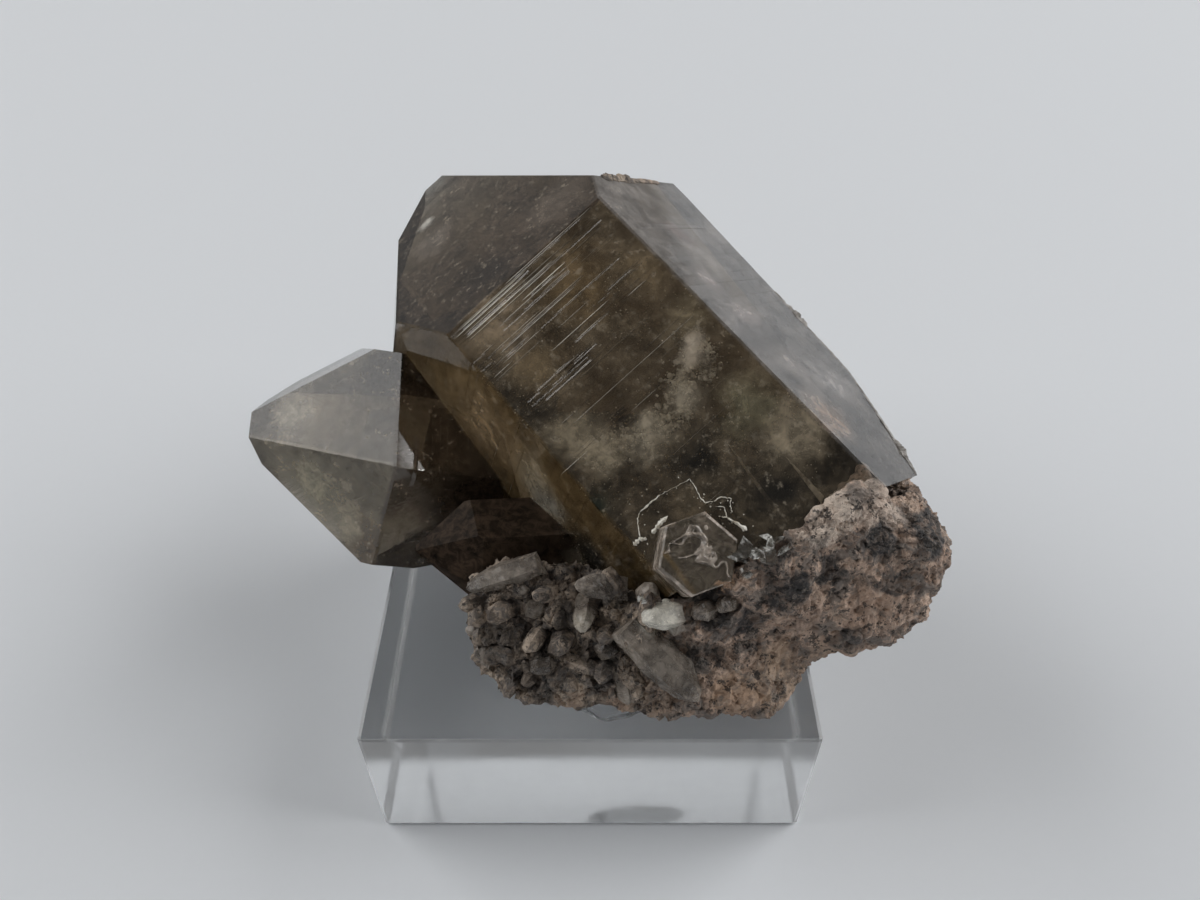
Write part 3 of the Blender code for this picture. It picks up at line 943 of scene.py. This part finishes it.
def makeSpurs(name, rows, material, slotName):
    rng = random.Random(31)
    bm = bmesh.new()
    face = facePlane("main", "sides", 60)[0]
    middle = crystalMatrix("main").translation
    for start, end, rise, foot in rows:
        start, end, rise, foot = Vector(start) * mm, Vector(end) * mm, rise * mm, foot * mm
        along = end - start
        out = along.cross(face).normalized()
        if out.dot(start - middle) < 0.0:
            out = -out
        count = max(5, round(along.length / (spurSet["step"] * mm)))
        rings = []
        for index in range(count + 1):
            share = index / count
            hump = rise * (0.06 + math.sin(math.pi * share) ** 0.6 * rng.uniform(0.35, 1.0))
            spot = start + share * along
            corners = (
                spot - foot * out * rng.uniform(0.6, 1.1) + 0.02 * mm * face,
                spot + 0.1 * hump * out + 0.55 * hump * face,
                spot + hump * out + rng.uniform(-0.2, 0.3) * hump * face,
                spot - foot * face - 0.2 * foot * out,
            )
            rings.append([bm.verts.new(corner + rng.uniform(-0.08, 0.08) * along.normalized() * mm) for corner in corners])
        for lower, upper in zip(rings, rings[1:]):
            for corner in range(4):
                following = (corner + 1) % 4
                bm.faces.new((lower[corner], lower[following], upper[following], upper[corner]))
        bm.faces.new(rings[0][::-1])
        bm.faces.new(rings[-1])
    floor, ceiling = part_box("smoky_crystals")
    for vert in bm.verts:
        vert.co = Vector([min(max(c, low), high) for c, low, high in zip(vert.co, floor, ceiling)])
    bmesh.ops.recalc_face_normals(bm, faces=bm.faces[:])
    return newPiece(name, meshFrom(bm, name), material, slotName)


def spurFinish():
    finish = newFinish("broken edge")
    tone = finish.cloud(900.0, 3.0, 0.7)
    surface = finish.shader(
        Base_Color=finish.blend(tone.between(0.38, 0.62), (0.14, 0.125, 0.11), (0.42, 0.39, 0.36)),
        Roughness=0.45,
        Normal=finish.relief(tone, 0.5, 0.2 * mm),
    )
    return finish.done(surface)


# clear and white splinters beside the etched crystal

splinterSet = {
    # place in mm, count, and longest length of the splinters
    "heaps": (
        ((14.3, -16.9, 40.9), 4, 2.6),
        ((15.9, -17.2, 41.2), 5, 2.8),
        ((17.7, -16.3, 41.9), 4, 1.8),
        ((18.6, -16.2, 40.6), 4, 2.0),
        ((15.6, -17.4, 39.4), 4, 1.6),
        ((13.3, -18.9, 39.0), 8, 1.2),
        ((5.2, -18.5, 36.2), 2, 1.2),
    ),
    "spread": 0.55,
}


def makeSplinters(material):
    rng = random.Random(64)
    bm = bmesh.new()
    outward = facePlane("main", "sides", 0)[0]
    for middle, count, length in splinterSet["heaps"]:
        for _ in range(count):
            spot = Vector([c + rng.gauss(0.0, splinterSet["spread"]) for c in middle]) * mm
            long = length * rng.uniform(0.4, 1.0) * mm
            lean = Vector([rng.gauss(0.0, 1.0) for _ in range(3)])
            axis = (lean - 0.6 * lean.dot(outward) * outward).normalized()
            side = axis.cross(outward).normalized() * long * rng.uniform(0.15, 0.4)
            lift = axis.cross(side).normalized() * long * rng.uniform(0.06, 0.16)
            points = (spot - 0.5 * long * axis, spot + side, spot + 0.5 * long * axis, spot - side)
            lower = [bm.verts.new(point - lift) for point in points]
            upper = [bm.verts.new(point + lift * rng.uniform(0.3, 1.6)) for point in points]
            bm.faces.new(lower[::-1])
            bm.faces.new(upper)
            for corner in range(4):
                following = (corner + 1) % 4
                bm.faces.new((lower[corner], lower[following], upper[following], upper[corner]))
    bmesh.ops.recalc_face_normals(bm, faces=bm.faces[:])
    return newPiece("clear_splinters", meshFrom(bm, "clear_splinters"), material, "smoky_quartz")


def splinterFinish():
    finish = newFinish("splintered quartz")
    tone = finish.cloud(900.0, 3.0)
    rust = 1 - finish.far((13.3 * mm, -18.9 * mm, 39.2 * mm)).between(0.8 * mm, 2.2 * mm)
    pale = finish.blend(tone.between(0.46, 0.64), (0.12, 0.105, 0.085), (0.85, 0.84, 0.80))
    glass = finish.shader(Base_Color=(0.96, 0.95, 0.92), Roughness=0.06, IOR=crystalSet["ior"], Transmission_Weight=1.0)
    white = finish.shader(Base_Color=finish.blend(rust * 0.8, pale, (0.62, 0.36, 0.20)), Roughness=0.25)
    return finish.done(finish.layered(0.25 + tone.between(0.48, 0.62) * 0.6, glass, white))


# the etched crystal

etchedSet = {
    "rings": 44,
    "radius": 4.25,
    "top": 1.45,  # height of its flat end above its middle point
    "foot": -3.5,
    "ridges": (0.34, 0.36),  # height and pattern size
    "arch": ((-1.1, -0.9), (1.0, 1.9), 0.34),  # middle, half sizes and height of the arched figure
    "rimHeight": 0.16,
}


def etchedHeight(across, along):
    swirl = 0.55 * noise.noise(Vector((across * 0.9, along * 0.9, 4.0)))
    spot = Vector((across + swirl * 2.0, along - swirl * 2.0, 1.3)) * etchedSet["ridges"][1]
    ridge = max(0.0, 1.0 - 5.0 * abs(noise.noise(spot)))
    fine = max(0.0, 1.0 - 6.0 * abs(noise.noise(spot * 2.6)))
    (middleX, middleY), (halfX, halfY), archHeight = etchedSet["arch"]
    ring = math.hypot((across - middleX) / halfX, (along - middleY) / halfY)
    arch = max(0.0, 1.0 - 4.5 * abs(ring - 1.0)) * (1.0 if along > middleY - 1.2 else 0.3)
    return etchedSet["ridges"][0] * ridge + 0.1 * fine + archHeight * arch


def makeEtched(material):
    count = etchedSet["rings"]
    radius = etchedSet["radius"]
    place = crystalMatrix("etched")
    corners = [Vector((math.cos(math.radians(30 + 60 * k)), math.sin(math.radians(30 + 60 * k)), 0.0)) for k in range(6)]
    bm = bmesh.new()
    rings = [[bm.verts.new(place @ Vector((0.0, 0.0, (etchedSet["top"] + etchedHeight(0.0, 0.0) - 0.3) * mm)))]]
    for ring in range(1, count + 1):
        share = ring / count
        row = []
        for corner in range(6):
            for step in range(ring):
                flat = corners[corner].lerp(corners[(corner + 1) % 6], step / ring) * share * radius
                edge = max(0.0, (share - 0.9) / 0.1)
                height = etchedHeight(flat.x, flat.y) * (1.0 - edge) - 0.3 + etchedSet["rimHeight"] * share ** 6 - 0.35 * edge ** 2
                row.append(bm.verts.new(place @ Vector((flat.x * mm, flat.y * mm, (etchedSet["top"] + height) * mm))))
        rings.append(row)
    for index in range(6):
        bm.faces.new((rings[0][0], rings[1][index], rings[1][(index + 1) % 6]))
    for ring in range(1, count):
        inner, outer = rings[ring], rings[ring + 1]
        for corner in range(6):
            for step in range(ring + 1):
                a = outer[corner * (ring + 1) + step]
                b = outer[(corner * (ring + 1) + step + 1) % len(outer)]
                c = inner[(corner * ring + step) % len(inner)]
                bm.faces.new((a, b, c))
                if step < ring:
                    d = inner[(corner * ring + step + 1) % len(inner)]
                    bm.faces.new((c, b, d))
    lower = []
    for vert in rings[-1]:
        spot = place.inverted() @ vert.co
        lower.append(bm.verts.new(place @ Vector((spot.x, spot.y, etchedSet["foot"] * mm))))
    rim = rings[-1]
    for index in range(len(rim)):
        following = (index + 1) % len(rim)
        bm.faces.new((rim[following], rim[index], lower[index], lower[following]))
    bm.faces.new(lower[::-1])
    bmesh.ops.recalc_face_normals(bm, faces=bm.faces[:])
    return newPiece("etched_crystal", meshFrom(bm, "etched_crystal"), material, "smoky_quartz", "smoky_crystals")


def etchedFinish():
    finish = newFinish("etched quartz")
    waves = finish.cloud(420.0, 3.0, 0.6, twist=1.2)
    glass = finish.shader(
        Base_Color=(0.90, 0.84, 0.76),
        Roughness=0.08 + waves * 0.2,
        IOR=crystalSet["ior"],
        Transmission_Weight=1.0,
        Normal=finish.relief(waves, 0.4, 0.25 * mm),
    )
    body = finish.shader(
        Base_Color=finish.blend(waves.between(0.36, 0.64), (0.27, 0.225, 0.18), (0.60, 0.51, 0.43)),
        Roughness=0.2,
        Normal=finish.relief(waves, 0.4, 0.25 * mm),
    )
    return finish.done(finish.layered(0.62 + waves.between(0.42, 0.6) * 0.2, glass, body))


# feldspar rock

rockSet = {
    "voxel": 0.30,
    "seed": 11,
    "lobes": (2.7, 0.50),  # spacing and height of the round lobes, mm
    "blocks": (1.3, 0.18, 0.14),  # spacing, tilt and step of the crystal blocks
    "grains": (0.60, 0.30, 0.09),  # and of the fine grains
    "waves": ((0.26, 230.0), (0.16, 620.0), (0.12, 1500.0)),
    "shoulder": (28.0, 1.6, 38.0),  # the right shoulder dips: start along x, depth, lowest height
    "crustEdge": (4.0, 12.0),  # the crystal crust fades out between these places along x
}

# Small quartz crystals on the rock: root, tip and width in mm.
smallCrystals = (
    ((-6.0, -12.4, 33.6), (-13.2, -13.9, 31.5), 3.0),
    ((3.2, -15.2, 33.4), (-1.6, -15.8, 34.8), 2.8),
    ((-0.4, -15.0, 30.6), (-0.8, -19.4, 31.9), 2.6),
    ((8.6, -18.5, 33.6), (5.3, -19.9, 34.6), 3.5),
    ((12.8, -17.4, 33.2), (10.4, -19.7, 34.7), 2.5),
    ((14.8, -17.2, 34.2), (12.9, -19.2, 35.5), 2.1),
    ((6.8, -16.2, 33.4), (5.2, -18.4, 35.8), 1.1),
    ((4.4, -18.8, 31.0), (11.4, -24.0, 25.8), 4.4),
    ((18.0, -14.6, 39.2), (14.8, -17.6, 41.0), 2.6),
    ((20.0, -13.8, 39.6), (17.2, -16.6, 41.6), 2.0),
    ((-8.6, -13.6, 28.8), (-10.6, -17.2, 31.0), 2.8),
    ((-5.0, -15.6, 27.0), (-6.6, -19.8, 29.0), 2.6),
    ((-8.4, -16.0, 24.6), (-11.4, -19.0, 25.8), 2.6),
    ((-10.6, -12.8, 28.2), (-14.2, -14.6, 29.4), 2.6),
    ((-4.0, -13.6, 30.8), (-5.6, -16.4, 33.4), 2.2),
    ((-2.6, -16.6, 27.2), (-3.4, -20.2, 29.2), 2.8),
    ((2.4, -16.8, 28.6), (1.2, -20.0, 31.0), 2.4),
    ((2.2, -18.4, 25.4), (1.0, -22.2, 27.0), 2.6),
    ((-5.6, -18.0, 23.6), (-7.0, -21.4, 24.8), 2.4),
)


def coordinates(mesh):
    flat = np.empty(len(mesh.vertices) * 3)
    mesh.vertices.foreach_get("co", flat)
    return flat.reshape(-1, 3)


def voxelMesh(mesh, voxel):
    holder = bpy.data.objects.new("melting", mesh)
    bpy.context.scene.collection.objects.link(holder)
    remesh = holder.modifiers.new("melt", "REMESH")
    remesh.mode = "VOXEL"
    remesh.voxel_size = voxel
    view = bpy.context.evaluated_depsgraph_get()
    made = bpy.data.meshes.new_from_object(holder.evaluated_get(view))
    bpy.data.objects.remove(holder, do_unlink=True)
    return made


# Draw the CAD rock's small crystals in, so that the clear ones can take their place.
def sinkSmallCrystals(points):
    for root, tip, width in smallCrystals:
        start = np.array(root) * mm
        axis = np.array(tip) * mm - start
        length = np.linalg.norm(axis)
        axis /= length
        reach = (points - start) @ axis
        side = points - start - np.outer(reach, axis)
        inside = (np.linalg.norm(side, axis=1) < 0.56 * width * mm) & (reach > 0.2 * length) & (reach < 1.05 * length)
        sunk = start + np.outer(0.12 * length + 0.35 * (reach - 0.2 * length), axis) + 0.4 * side
        points[inside] = sunk[inside]
    return points


class BlockField:  # random blocks or lobes that break up a surface
    def __init__(self, low, high, spacing, tilt, step, rng):
        size = high - low
        count = int(np.prod(size / spacing))
        self.seeds = low + rng.random((count, 3)) * size
        self.slopes = rng.normal(size=(count, 3)) * tilt
        self.steps = rng.uniform(-1.0, 0.6, count) * step
        self.spacing = spacing
        self.tree = kdtree.KDTree(count)
        for index, seed in enumerate(self.seeds):
            self.tree.insert(seed, index)
        self.tree.balance()

    def nearest(self, point):
        (_, index, near), (_, _, second) = self.tree.find_n(point, 2)
        return index, near, second

    def block(self, point):
        index, near, second = self.nearest(point)
        lean = float((point - self.seeds[index]) @ self.slopes[index])
        crack = max(0.0, 1.0 - (second - near) / (0.13 * self.spacing))
        limit = 0.5 * self.spacing
        return max(-limit, min(limit, lean)) + self.steps[index] - 0.1 * self.spacing * crack

    def lobe(self, point):  # 1 in the middle of a lobe, 0 in the seams
        _, near, second = self.nearest(point)
        return min(1.0, (second - near) / (0.7 * self.spacing)) ** 0.6


def makeRock(material):
    mesh = cadNodes["feldspar_matrix"].data.copy()
    points = sinkSmallCrystals(coordinates(mesh))
    mesh.vertices.foreach_set("co", points.ravel())
    skin = voxelMesh(mesh, rockSet["voxel"] * mm)
    points = coordinates(skin)
    normals = np.empty(len(points) * 3)
    skin.vertex_normals.foreach_get("vector", normals)
    normals = normals.reshape(-1, 3)
    rng = np.random.default_rng(rockSet["seed"])
    low, high = points.min(0), points.max(0)
    lobeSpacing, lobeHeight = rockSet["lobes"]
    lobes = BlockField(low, high, lobeSpacing * mm, 0.0, 0.0, rng)
    spacing, tilt, step = rockSet["blocks"]
    blocks = BlockField(low, high, spacing * mm, tilt, step * mm, rng)
    spacing, tilt, step = rockSet["grains"]
    grains = BlockField(low, high, spacing * mm, tilt, step * mm, rng)
    edgeLow, edgeHigh = rockSet["crustEdge"]
    push = np.zeros(len(points))
    for index, point in enumerate(points):
        crust = 1.0 - min(1.0, max(0.0, (point[0] / mm - edgeLow) / (edgeHigh - edgeLow)))
        total = lobeHeight * mm * (lobes.lobe(point) - 0.75)
        total += (0.75 + 0.5 * crust) * blocks.block(point) + (0.5 + 0.5 * crust) * grains.block(point)
        for size, scale in rockSet["waves"]:
            total += size * mm * noise.noise(Vector(point * scale))
        push[index] = total
    points += normals * push[:, None]
    east, depth, foot = (c * mm for c in rockSet["shoulder"])
    sink = np.clip((points[:, 0] - east) / (3.0 * mm), 0.0, 1.0) * np.clip((points[:, 2] - foot) / (5.0 * mm), 0.0, 1.0)
    points[:, 2] -= depth * sink * np.clip((points[:, 1] + 16.0 * mm) / (4.0 * mm), 0.0, 1.0)
    floor, ceiling = (np.array(corner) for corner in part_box("feldspar_matrix"))
    points = np.clip(points, floor + 0.01 * mm, ceiling - 0.01 * mm)
    skin.vertices.foreach_set("co", points.ravel())
    skin.update()
    print("rock skin:", len(skin.polygons), "faces")
    return newPiece("feldspar_rock", skin, material, "feldspar_rock", "feldspar_matrix")


# rock grown over the low right corner of the main crystal

lipSet = {
    "corners": ((21.4, -13.8, 42.0), (27.3, -9.8, 45.2), (29.4, -12.0, 44.5)),  # mm
    "count": 130,
    "lump": (0.30, 0.85),
    "lift": (-0.30, 0.25),
    "voxel": 0.20,
    "waves": ((0.22, 420.0), (0.16, 1100.0)),
}


def makeLip(material):
    rng = random.Random(19)
    bm = bmesh.new()
    outward = facePlane("main", "sides", 0)[0]
    first, second, third = (Vector(corner) * mm for corner in lipSet["corners"])
    for _ in range(lipSet["count"]):
        one, two = sorted((rng.random(), rng.random()))
        spot = one * first + (two - one) * second + (1.0 - two) * third
        spot += outward * rng.uniform(*lipSet["lift"]) * mm
        addShard(bm, spot, [rng.uniform(*lipSet["lump"]) * mm for _ in range(3)], rng)
    skin = voxelMesh(meshFrom(bm, "rock_lip"), lipSet["voxel"] * mm)
    for vert in skin.vertices:
        push = sum(size * noise.noise(vert.co * scale) for size, scale in lipSet["waves"])
        vert.co += Vector(vert.normal) * push * mm
    skin.update()
    return newPiece("rock_lip", skin, material, "feldspar_rock")


# Mineral patches on the rock: place and radius in mm, tone and share.
rockPatches = (
    ((19.9, -21.6, 26.2), 4.5, (0.46, 0.33, 0.23), 0.7),
    ((25.3, -19.2, 28.1), 3.5, (0.44, 0.31, 0.22), 0.6),
    ((15.6, -23.4, 25.3), 4.0, (0.46, 0.31, 0.21), 0.8),
    ((29.6, -18.3, 33.8), 4.2, (0.44, 0.30, 0.22), 0.7),
    ((21.4, -19.1, 33.2), 3.0, (0.42, 0.30, 0.23), 0.6),
    ((36.0, -14.5, 37.0), 3.5, (0.46, 0.31, 0.23), 0.6),
    ((22.5, -13.5, 43.5), 4.8, (0.72, 0.60, 0.50), 0.85),
    ((29.0, -12.0, 43.5), 4.5, (0.66, 0.54, 0.45), 0.75),
    ((7.0, -22.5, 24.0), 3.0, (0.30, 0.21, 0.15), 0.6),
    ((29.0, -14.6, 40.4), 2.6, (0.020, 0.021, 0.024), 0.95),
    ((35.0, -13.2, 39.8), 3.2, (0.026, 0.026, 0.028), 0.95),
    ((20.0, -18.1, 36.8), 3.0, (0.024, 0.024, 0.026), 0.95),
    ((16.4, -18.7, 32.7), 2.8, (0.022, 0.022, 0.025), 0.95),
    ((12.6, -19.0, 34.6), 2.8, (0.026, 0.025, 0.026), 0.95),
    ((24.2, -16.2, 37.7), 1.7, (0.030, 0.028, 0.028), 0.9),
    ((26.7, -19.8, 30.8), 2.4, (0.034, 0.032, 0.032), 0.9),
    ((18.8, -16.7, 39.4), 1.8, (0.030, 0.029, 0.030), 0.9),
    ((12.0, -20.5, 29.5), 2.6, (0.016, 0.013, 0.011), 0.95),
    ((31.0, -16.5, 35.5), 2.0, (0.030, 0.028, 0.029), 0.9),
    ((8.6, -21.2, 31.0), 2.0, (0.018, 0.014, 0.012), 0.9),
    ((1.1, -19.2, 28.1), 3.2, (0.022, 0.017, 0.014), 0.85),
    ((-9.7, -17.4, 27.3), 2.6, (0.030, 0.026, 0.023), 0.8),
    ((-5.5, -19.5, 24.8), 3.2, (0.024, 0.019, 0.016), 0.85),
    ((-3.0, -16.5, 31.0), 2.0, (0.024, 0.019, 0.016), 0.8),
    ((-11.5, -14.0, 30.2), 1.8, (0.028, 0.023, 0.019), 0.8),
    ((3.0, -22.0, 22.8), 2.2, (0.46, 0.31, 0.22), 0.7),
    ((-1.8, -21.5, 22.9), 2.0, (0.40, 0.28, 0.20), 0.6),
)


def rockFinish():
    finish = newFinish("feldspar rock")
    spot = finish.shifted(240.0, 4.0 * mm, finish.shifted(800.0, 2.0 * mm))
    fuzz = finish.cloud(1700.0, 3.0, 0.8, twist=0.5)
    fibre = finish.cloud(620.0, 5.0, 0.75, twist=1.0)
    patch = finish.cloud(300.0, 5.0, 0.72, at=spot)
    other = finish.cloud(520.0, 5.0, 0.74, at=finish.shifted(300.0, 6.0 * mm))
    east = finish.along((1.0, 0.0, 0.0), spot)
    tan = finish.blend(patch.between(0.40, 0.60), (0.18, 0.125, 0.093), (0.62, 0.45, 0.345))
    tan = finish.blend(other.between(0.46, 0.56) * 0.75, tan, (0.16, 0.145, 0.132))
    grey = finish.blend(patch.between(0.38, 0.62), (0.080, 0.059, 0.044), (0.50, 0.40, 0.31))
    grey = finish.blend(other.between(0.47, 0.57) * 0.75, grey, (0.095, 0.086, 0.080))
    colour = finish.blend(east.between(4.0 * mm, 11.0 * mm), grey, tan)
    for place, radius, tone, share in rockPatches:
        gap = finish.far(tuple(c * mm for c in place), spot)
        here = (1 - gap.between(0.62 * radius * mm, 0.95 * radius * mm)) * share
        colour = finish.blend(here * (0.25 + patch.between(0.44, 0.54) * 0.75), colour, tone)
    speck = finish.cloud(800.0, 3.0, 0.85).between(0.55, 0.62)
    colour = finish.blend(speck * 0.85, colour, (0.022, 0.020, 0.019))
    colour = finish.blend(fuzz.between(0.5, 0.8) * 0.5, colour, (0.46, 0.38, 0.31))
    colour = finish.blend(fibre.between(0.56, 0.72) * 0.4, colour, (0.50, 0.44, 0.37))
    normal = finish.relief(fuzz, 0.8, 0.3 * mm, finish.relief(fibre, 0.6, 0.5 * mm))
    return finish.done(finish.shader(Base_Color=colour, Roughness=0.55 + fuzz * 0.3, Normal=normal))


# Where the small crystals differ from the rest: place, radius, tone and share.
frostSpots = (
    ((-9.5, -13.2, 32.6), 4.2, (0.25, 0.215, 0.18), 0.60),
    ((8.4, -21.6, 28.2), 4.6, (0.12, 0.105, 0.088), 0.55),
    ((7.0, -19.3, 34.2), 2.8, (0.93, 0.89, 0.78), 1.0),
    ((5.2, -18.4, 36.0), 0.9, (0.90, 0.86, 0.75), 0.9),
    ((-0.6, -18.6, 31.8), 1.8, (0.62, 0.56, 0.46), 0.6),
)


def frostedFinish():
    finish = newFinish("frosted quartz")
    etch = finish.cloud(1500.0, 3.0, 0.7)
    fibre = finish.cloud(900.0, 4.0, 0.75, twist=0.5)
    milk = finish.cloud(260.0, 3.0)
    tone = finish.blend(milk.between(0.36, 0.62), (0.105, 0.084, 0.067), (0.37, 0.315, 0.26))
    tone = finish.blend(fibre.between(0.50, 0.68) * 0.5, tone, (0.46, 0.40, 0.34))
    for place, radius, spotTone, share in frostSpots:
        gap = finish.far(tuple(c * mm for c in place))
        here = (1 - gap.between(0.5 * radius * mm, radius * mm)) * share
        tone = finish.blend(here * (0.75 + fibre * 0.5).least(1.0), tone, spotTone)
    normal = finish.relief(etch, 0.35, 0.15 * mm, finish.relief(fibre, 0.18, 0.3 * mm))
    glass = finish.shader(
        Base_Color=finish.blend(milk, (0.55, 0.5, 0.42), (0.85, 0.82, 0.76)),
        Roughness=0.12 + etch * 0.25,
        IOR=crystalSet["ior"],
        Transmission_Weight=1.0,
        Normal=normal,
    )
    frost = finish.shader(Base_Color=tone, Roughness=0.35 + etch * 0.3, Normal=normal)
    return finish.done(finish.layered(0.45 + fibre.between(0.35, 0.65) * 0.4, glass, frost))


def addSmallCrystal(bm, root, tip, width, rng):
    start = Vector(root) * mm
    axis = Vector(tip) * mm - start
    length = axis.length
    turn = axis.to_track_quat("Z", "Y").to_matrix().to_4x4()
    place = Matrix.Translation(start) @ turn @ Matrix.Rotation(rng.uniform(0.0, 1.0), 4, "Z")
    radius = 0.5 * width * mm
    rings = []
    reach = [radius * rng.uniform(0.8, 1.1) for _ in range(6)]
    for share, spread in ((-0.1, 0.95), (0.16, 1.0), (0.42, 0.98), (0.64, 0.93), (0.80, 0.72), (0.93, 0.42)):
        ring = []
        for corner in range(6):
            around = math.tau * corner / 6
            out = reach[corner] * spread * rng.uniform(0.95, 1.05)
            height = length * (share + rng.uniform(-0.03, 0.03))
            ring.append(bm.verts.new(place @ Vector((out * math.cos(around), out * math.sin(around), height))))
        rings.append(ring)
    peak = bm.verts.new(place @ Vector((rng.uniform(-0.2, 0.2) * radius, rng.uniform(-0.2, 0.2) * radius, length)))
    for lower, upper in zip(rings, rings[1:]):
        for corner in range(6):
            following = (corner + 1) % 6
            bm.faces.new((lower[corner], lower[following], upper[following], upper[corner]))
    for corner in range(6):
        bm.faces.new((rings[-1][corner], rings[-1][(corner + 1) % 6], peak))
    bm.faces.new(rings[0][::-1])


crustSet = {
    "count": 74,
    "gap": 1.5,  # least distance between two little crystals, mm
    "length": (0.8, 3.6),
    "width": (0.9, 3.4),
    "east": 12.0,  # the crust ends here along x
    "clear": 9,  # this many of the placed crystals are clear, the rest dull
    "clearShare": 0.22,
    "top": 38.0,  # and here in height, where splinters take over
    "roughness": (0.13, 0.15),  # height and pattern size of the etched skin
}


def roughen(bm):
    bmesh.ops.subdivide_edges(bm, edges=bm.edges[:], cuts=2, use_grid_fill=True)
    height, size = crustSet["roughness"]
    bm.normal_update()
    for vert in bm.verts:
        near = noise.noise(vert.co / (size * 8.0 * mm)) + 0.6 * noise.noise(vert.co / (size * 3.0 * mm))
        vert.co += vert.normal * height * near * mm
    return bm


def makeSmallCrystals(rock, material, rockMaterial):
    rng = random.Random(5)
    clear, dull = bmesh.new(), bmesh.new()
    for index, (root, tip, width) in enumerate(smallCrystals):
        if root[2] < crustSet["top"]:
            addSmallCrystal(clear if index < crustSet["clear"] else dull, root, tip, width, rng)
    floor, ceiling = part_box("feldspar_matrix")
    faces = rock.data.polygons
    taken = []
    tries = 0
    while len(taken) < crustSet["count"] and tries < 20000:
        tries += 1
        face = faces[rng.randrange(len(faces))]
        spot, way = face.center.copy(), face.normal.copy()
        if spot.x > crustSet["east"] * mm * rng.uniform(0.2, 1.0) or spot.z < 24.0 * mm or way.z < -0.3:
            continue
        if any((spot - other).length < crustSet["gap"] * mm for other in taken):
            continue
        length = rng.uniform(*crustSet["length"])
        lean = Vector([rng.uniform(-0.5, 0.5) for _ in range(3)])
        way = (way + lean).normalized()
        tip = spot / mm + way * rng.uniform(0.10, 0.42) * length
        if not all(low + 0.3 * mm < c * mm < high - 0.3 * mm for low, c, high in zip(floor, tip, ceiling)):
            continue
        taken.append(spot)
        part = clear if rng.random() < crustSet["clearShare"] else dull
        addSmallCrystal(part, spot / mm - way * 0.8 * length, tip, rng.uniform(*crustSet["width"]), rng)
    print("little crystals:", len(taken))
    newPiece("dull_crystals", meshFrom(roughen(dull), "dull_crystals"), rockMaterial, "feldspar_rock")
    return newPiece(
        "frosted_crystals", meshFrom(roughen(clear), "frosted_crystals"), material, "smoky_quartz", "feldspar_matrix",
    )


makeCamera()
makeStage()
dressBlock()
makeCrystals(quartzFinish(), ledgeFinish(), glintLineFinish())
makeInnerClouds(innerFinish())
makeCracks(crackFinish())
makeEtched(etchedFinish())
makeSpurs("edge_spurs", spurSet["spurs"], spurFinish(), "smoky_quartz")
makeSplinters(splinterFinish())
rockMaterial = rockFinish()
makeSpurs("rock_crumbs", spurSet["crumbs"], rockMaterial, "feldspar_rock")
makeLip(rockMaterial)
makeSmallCrystals(makeRock(rockMaterial), frostedFinish(), rockMaterial)
print("rock ready")
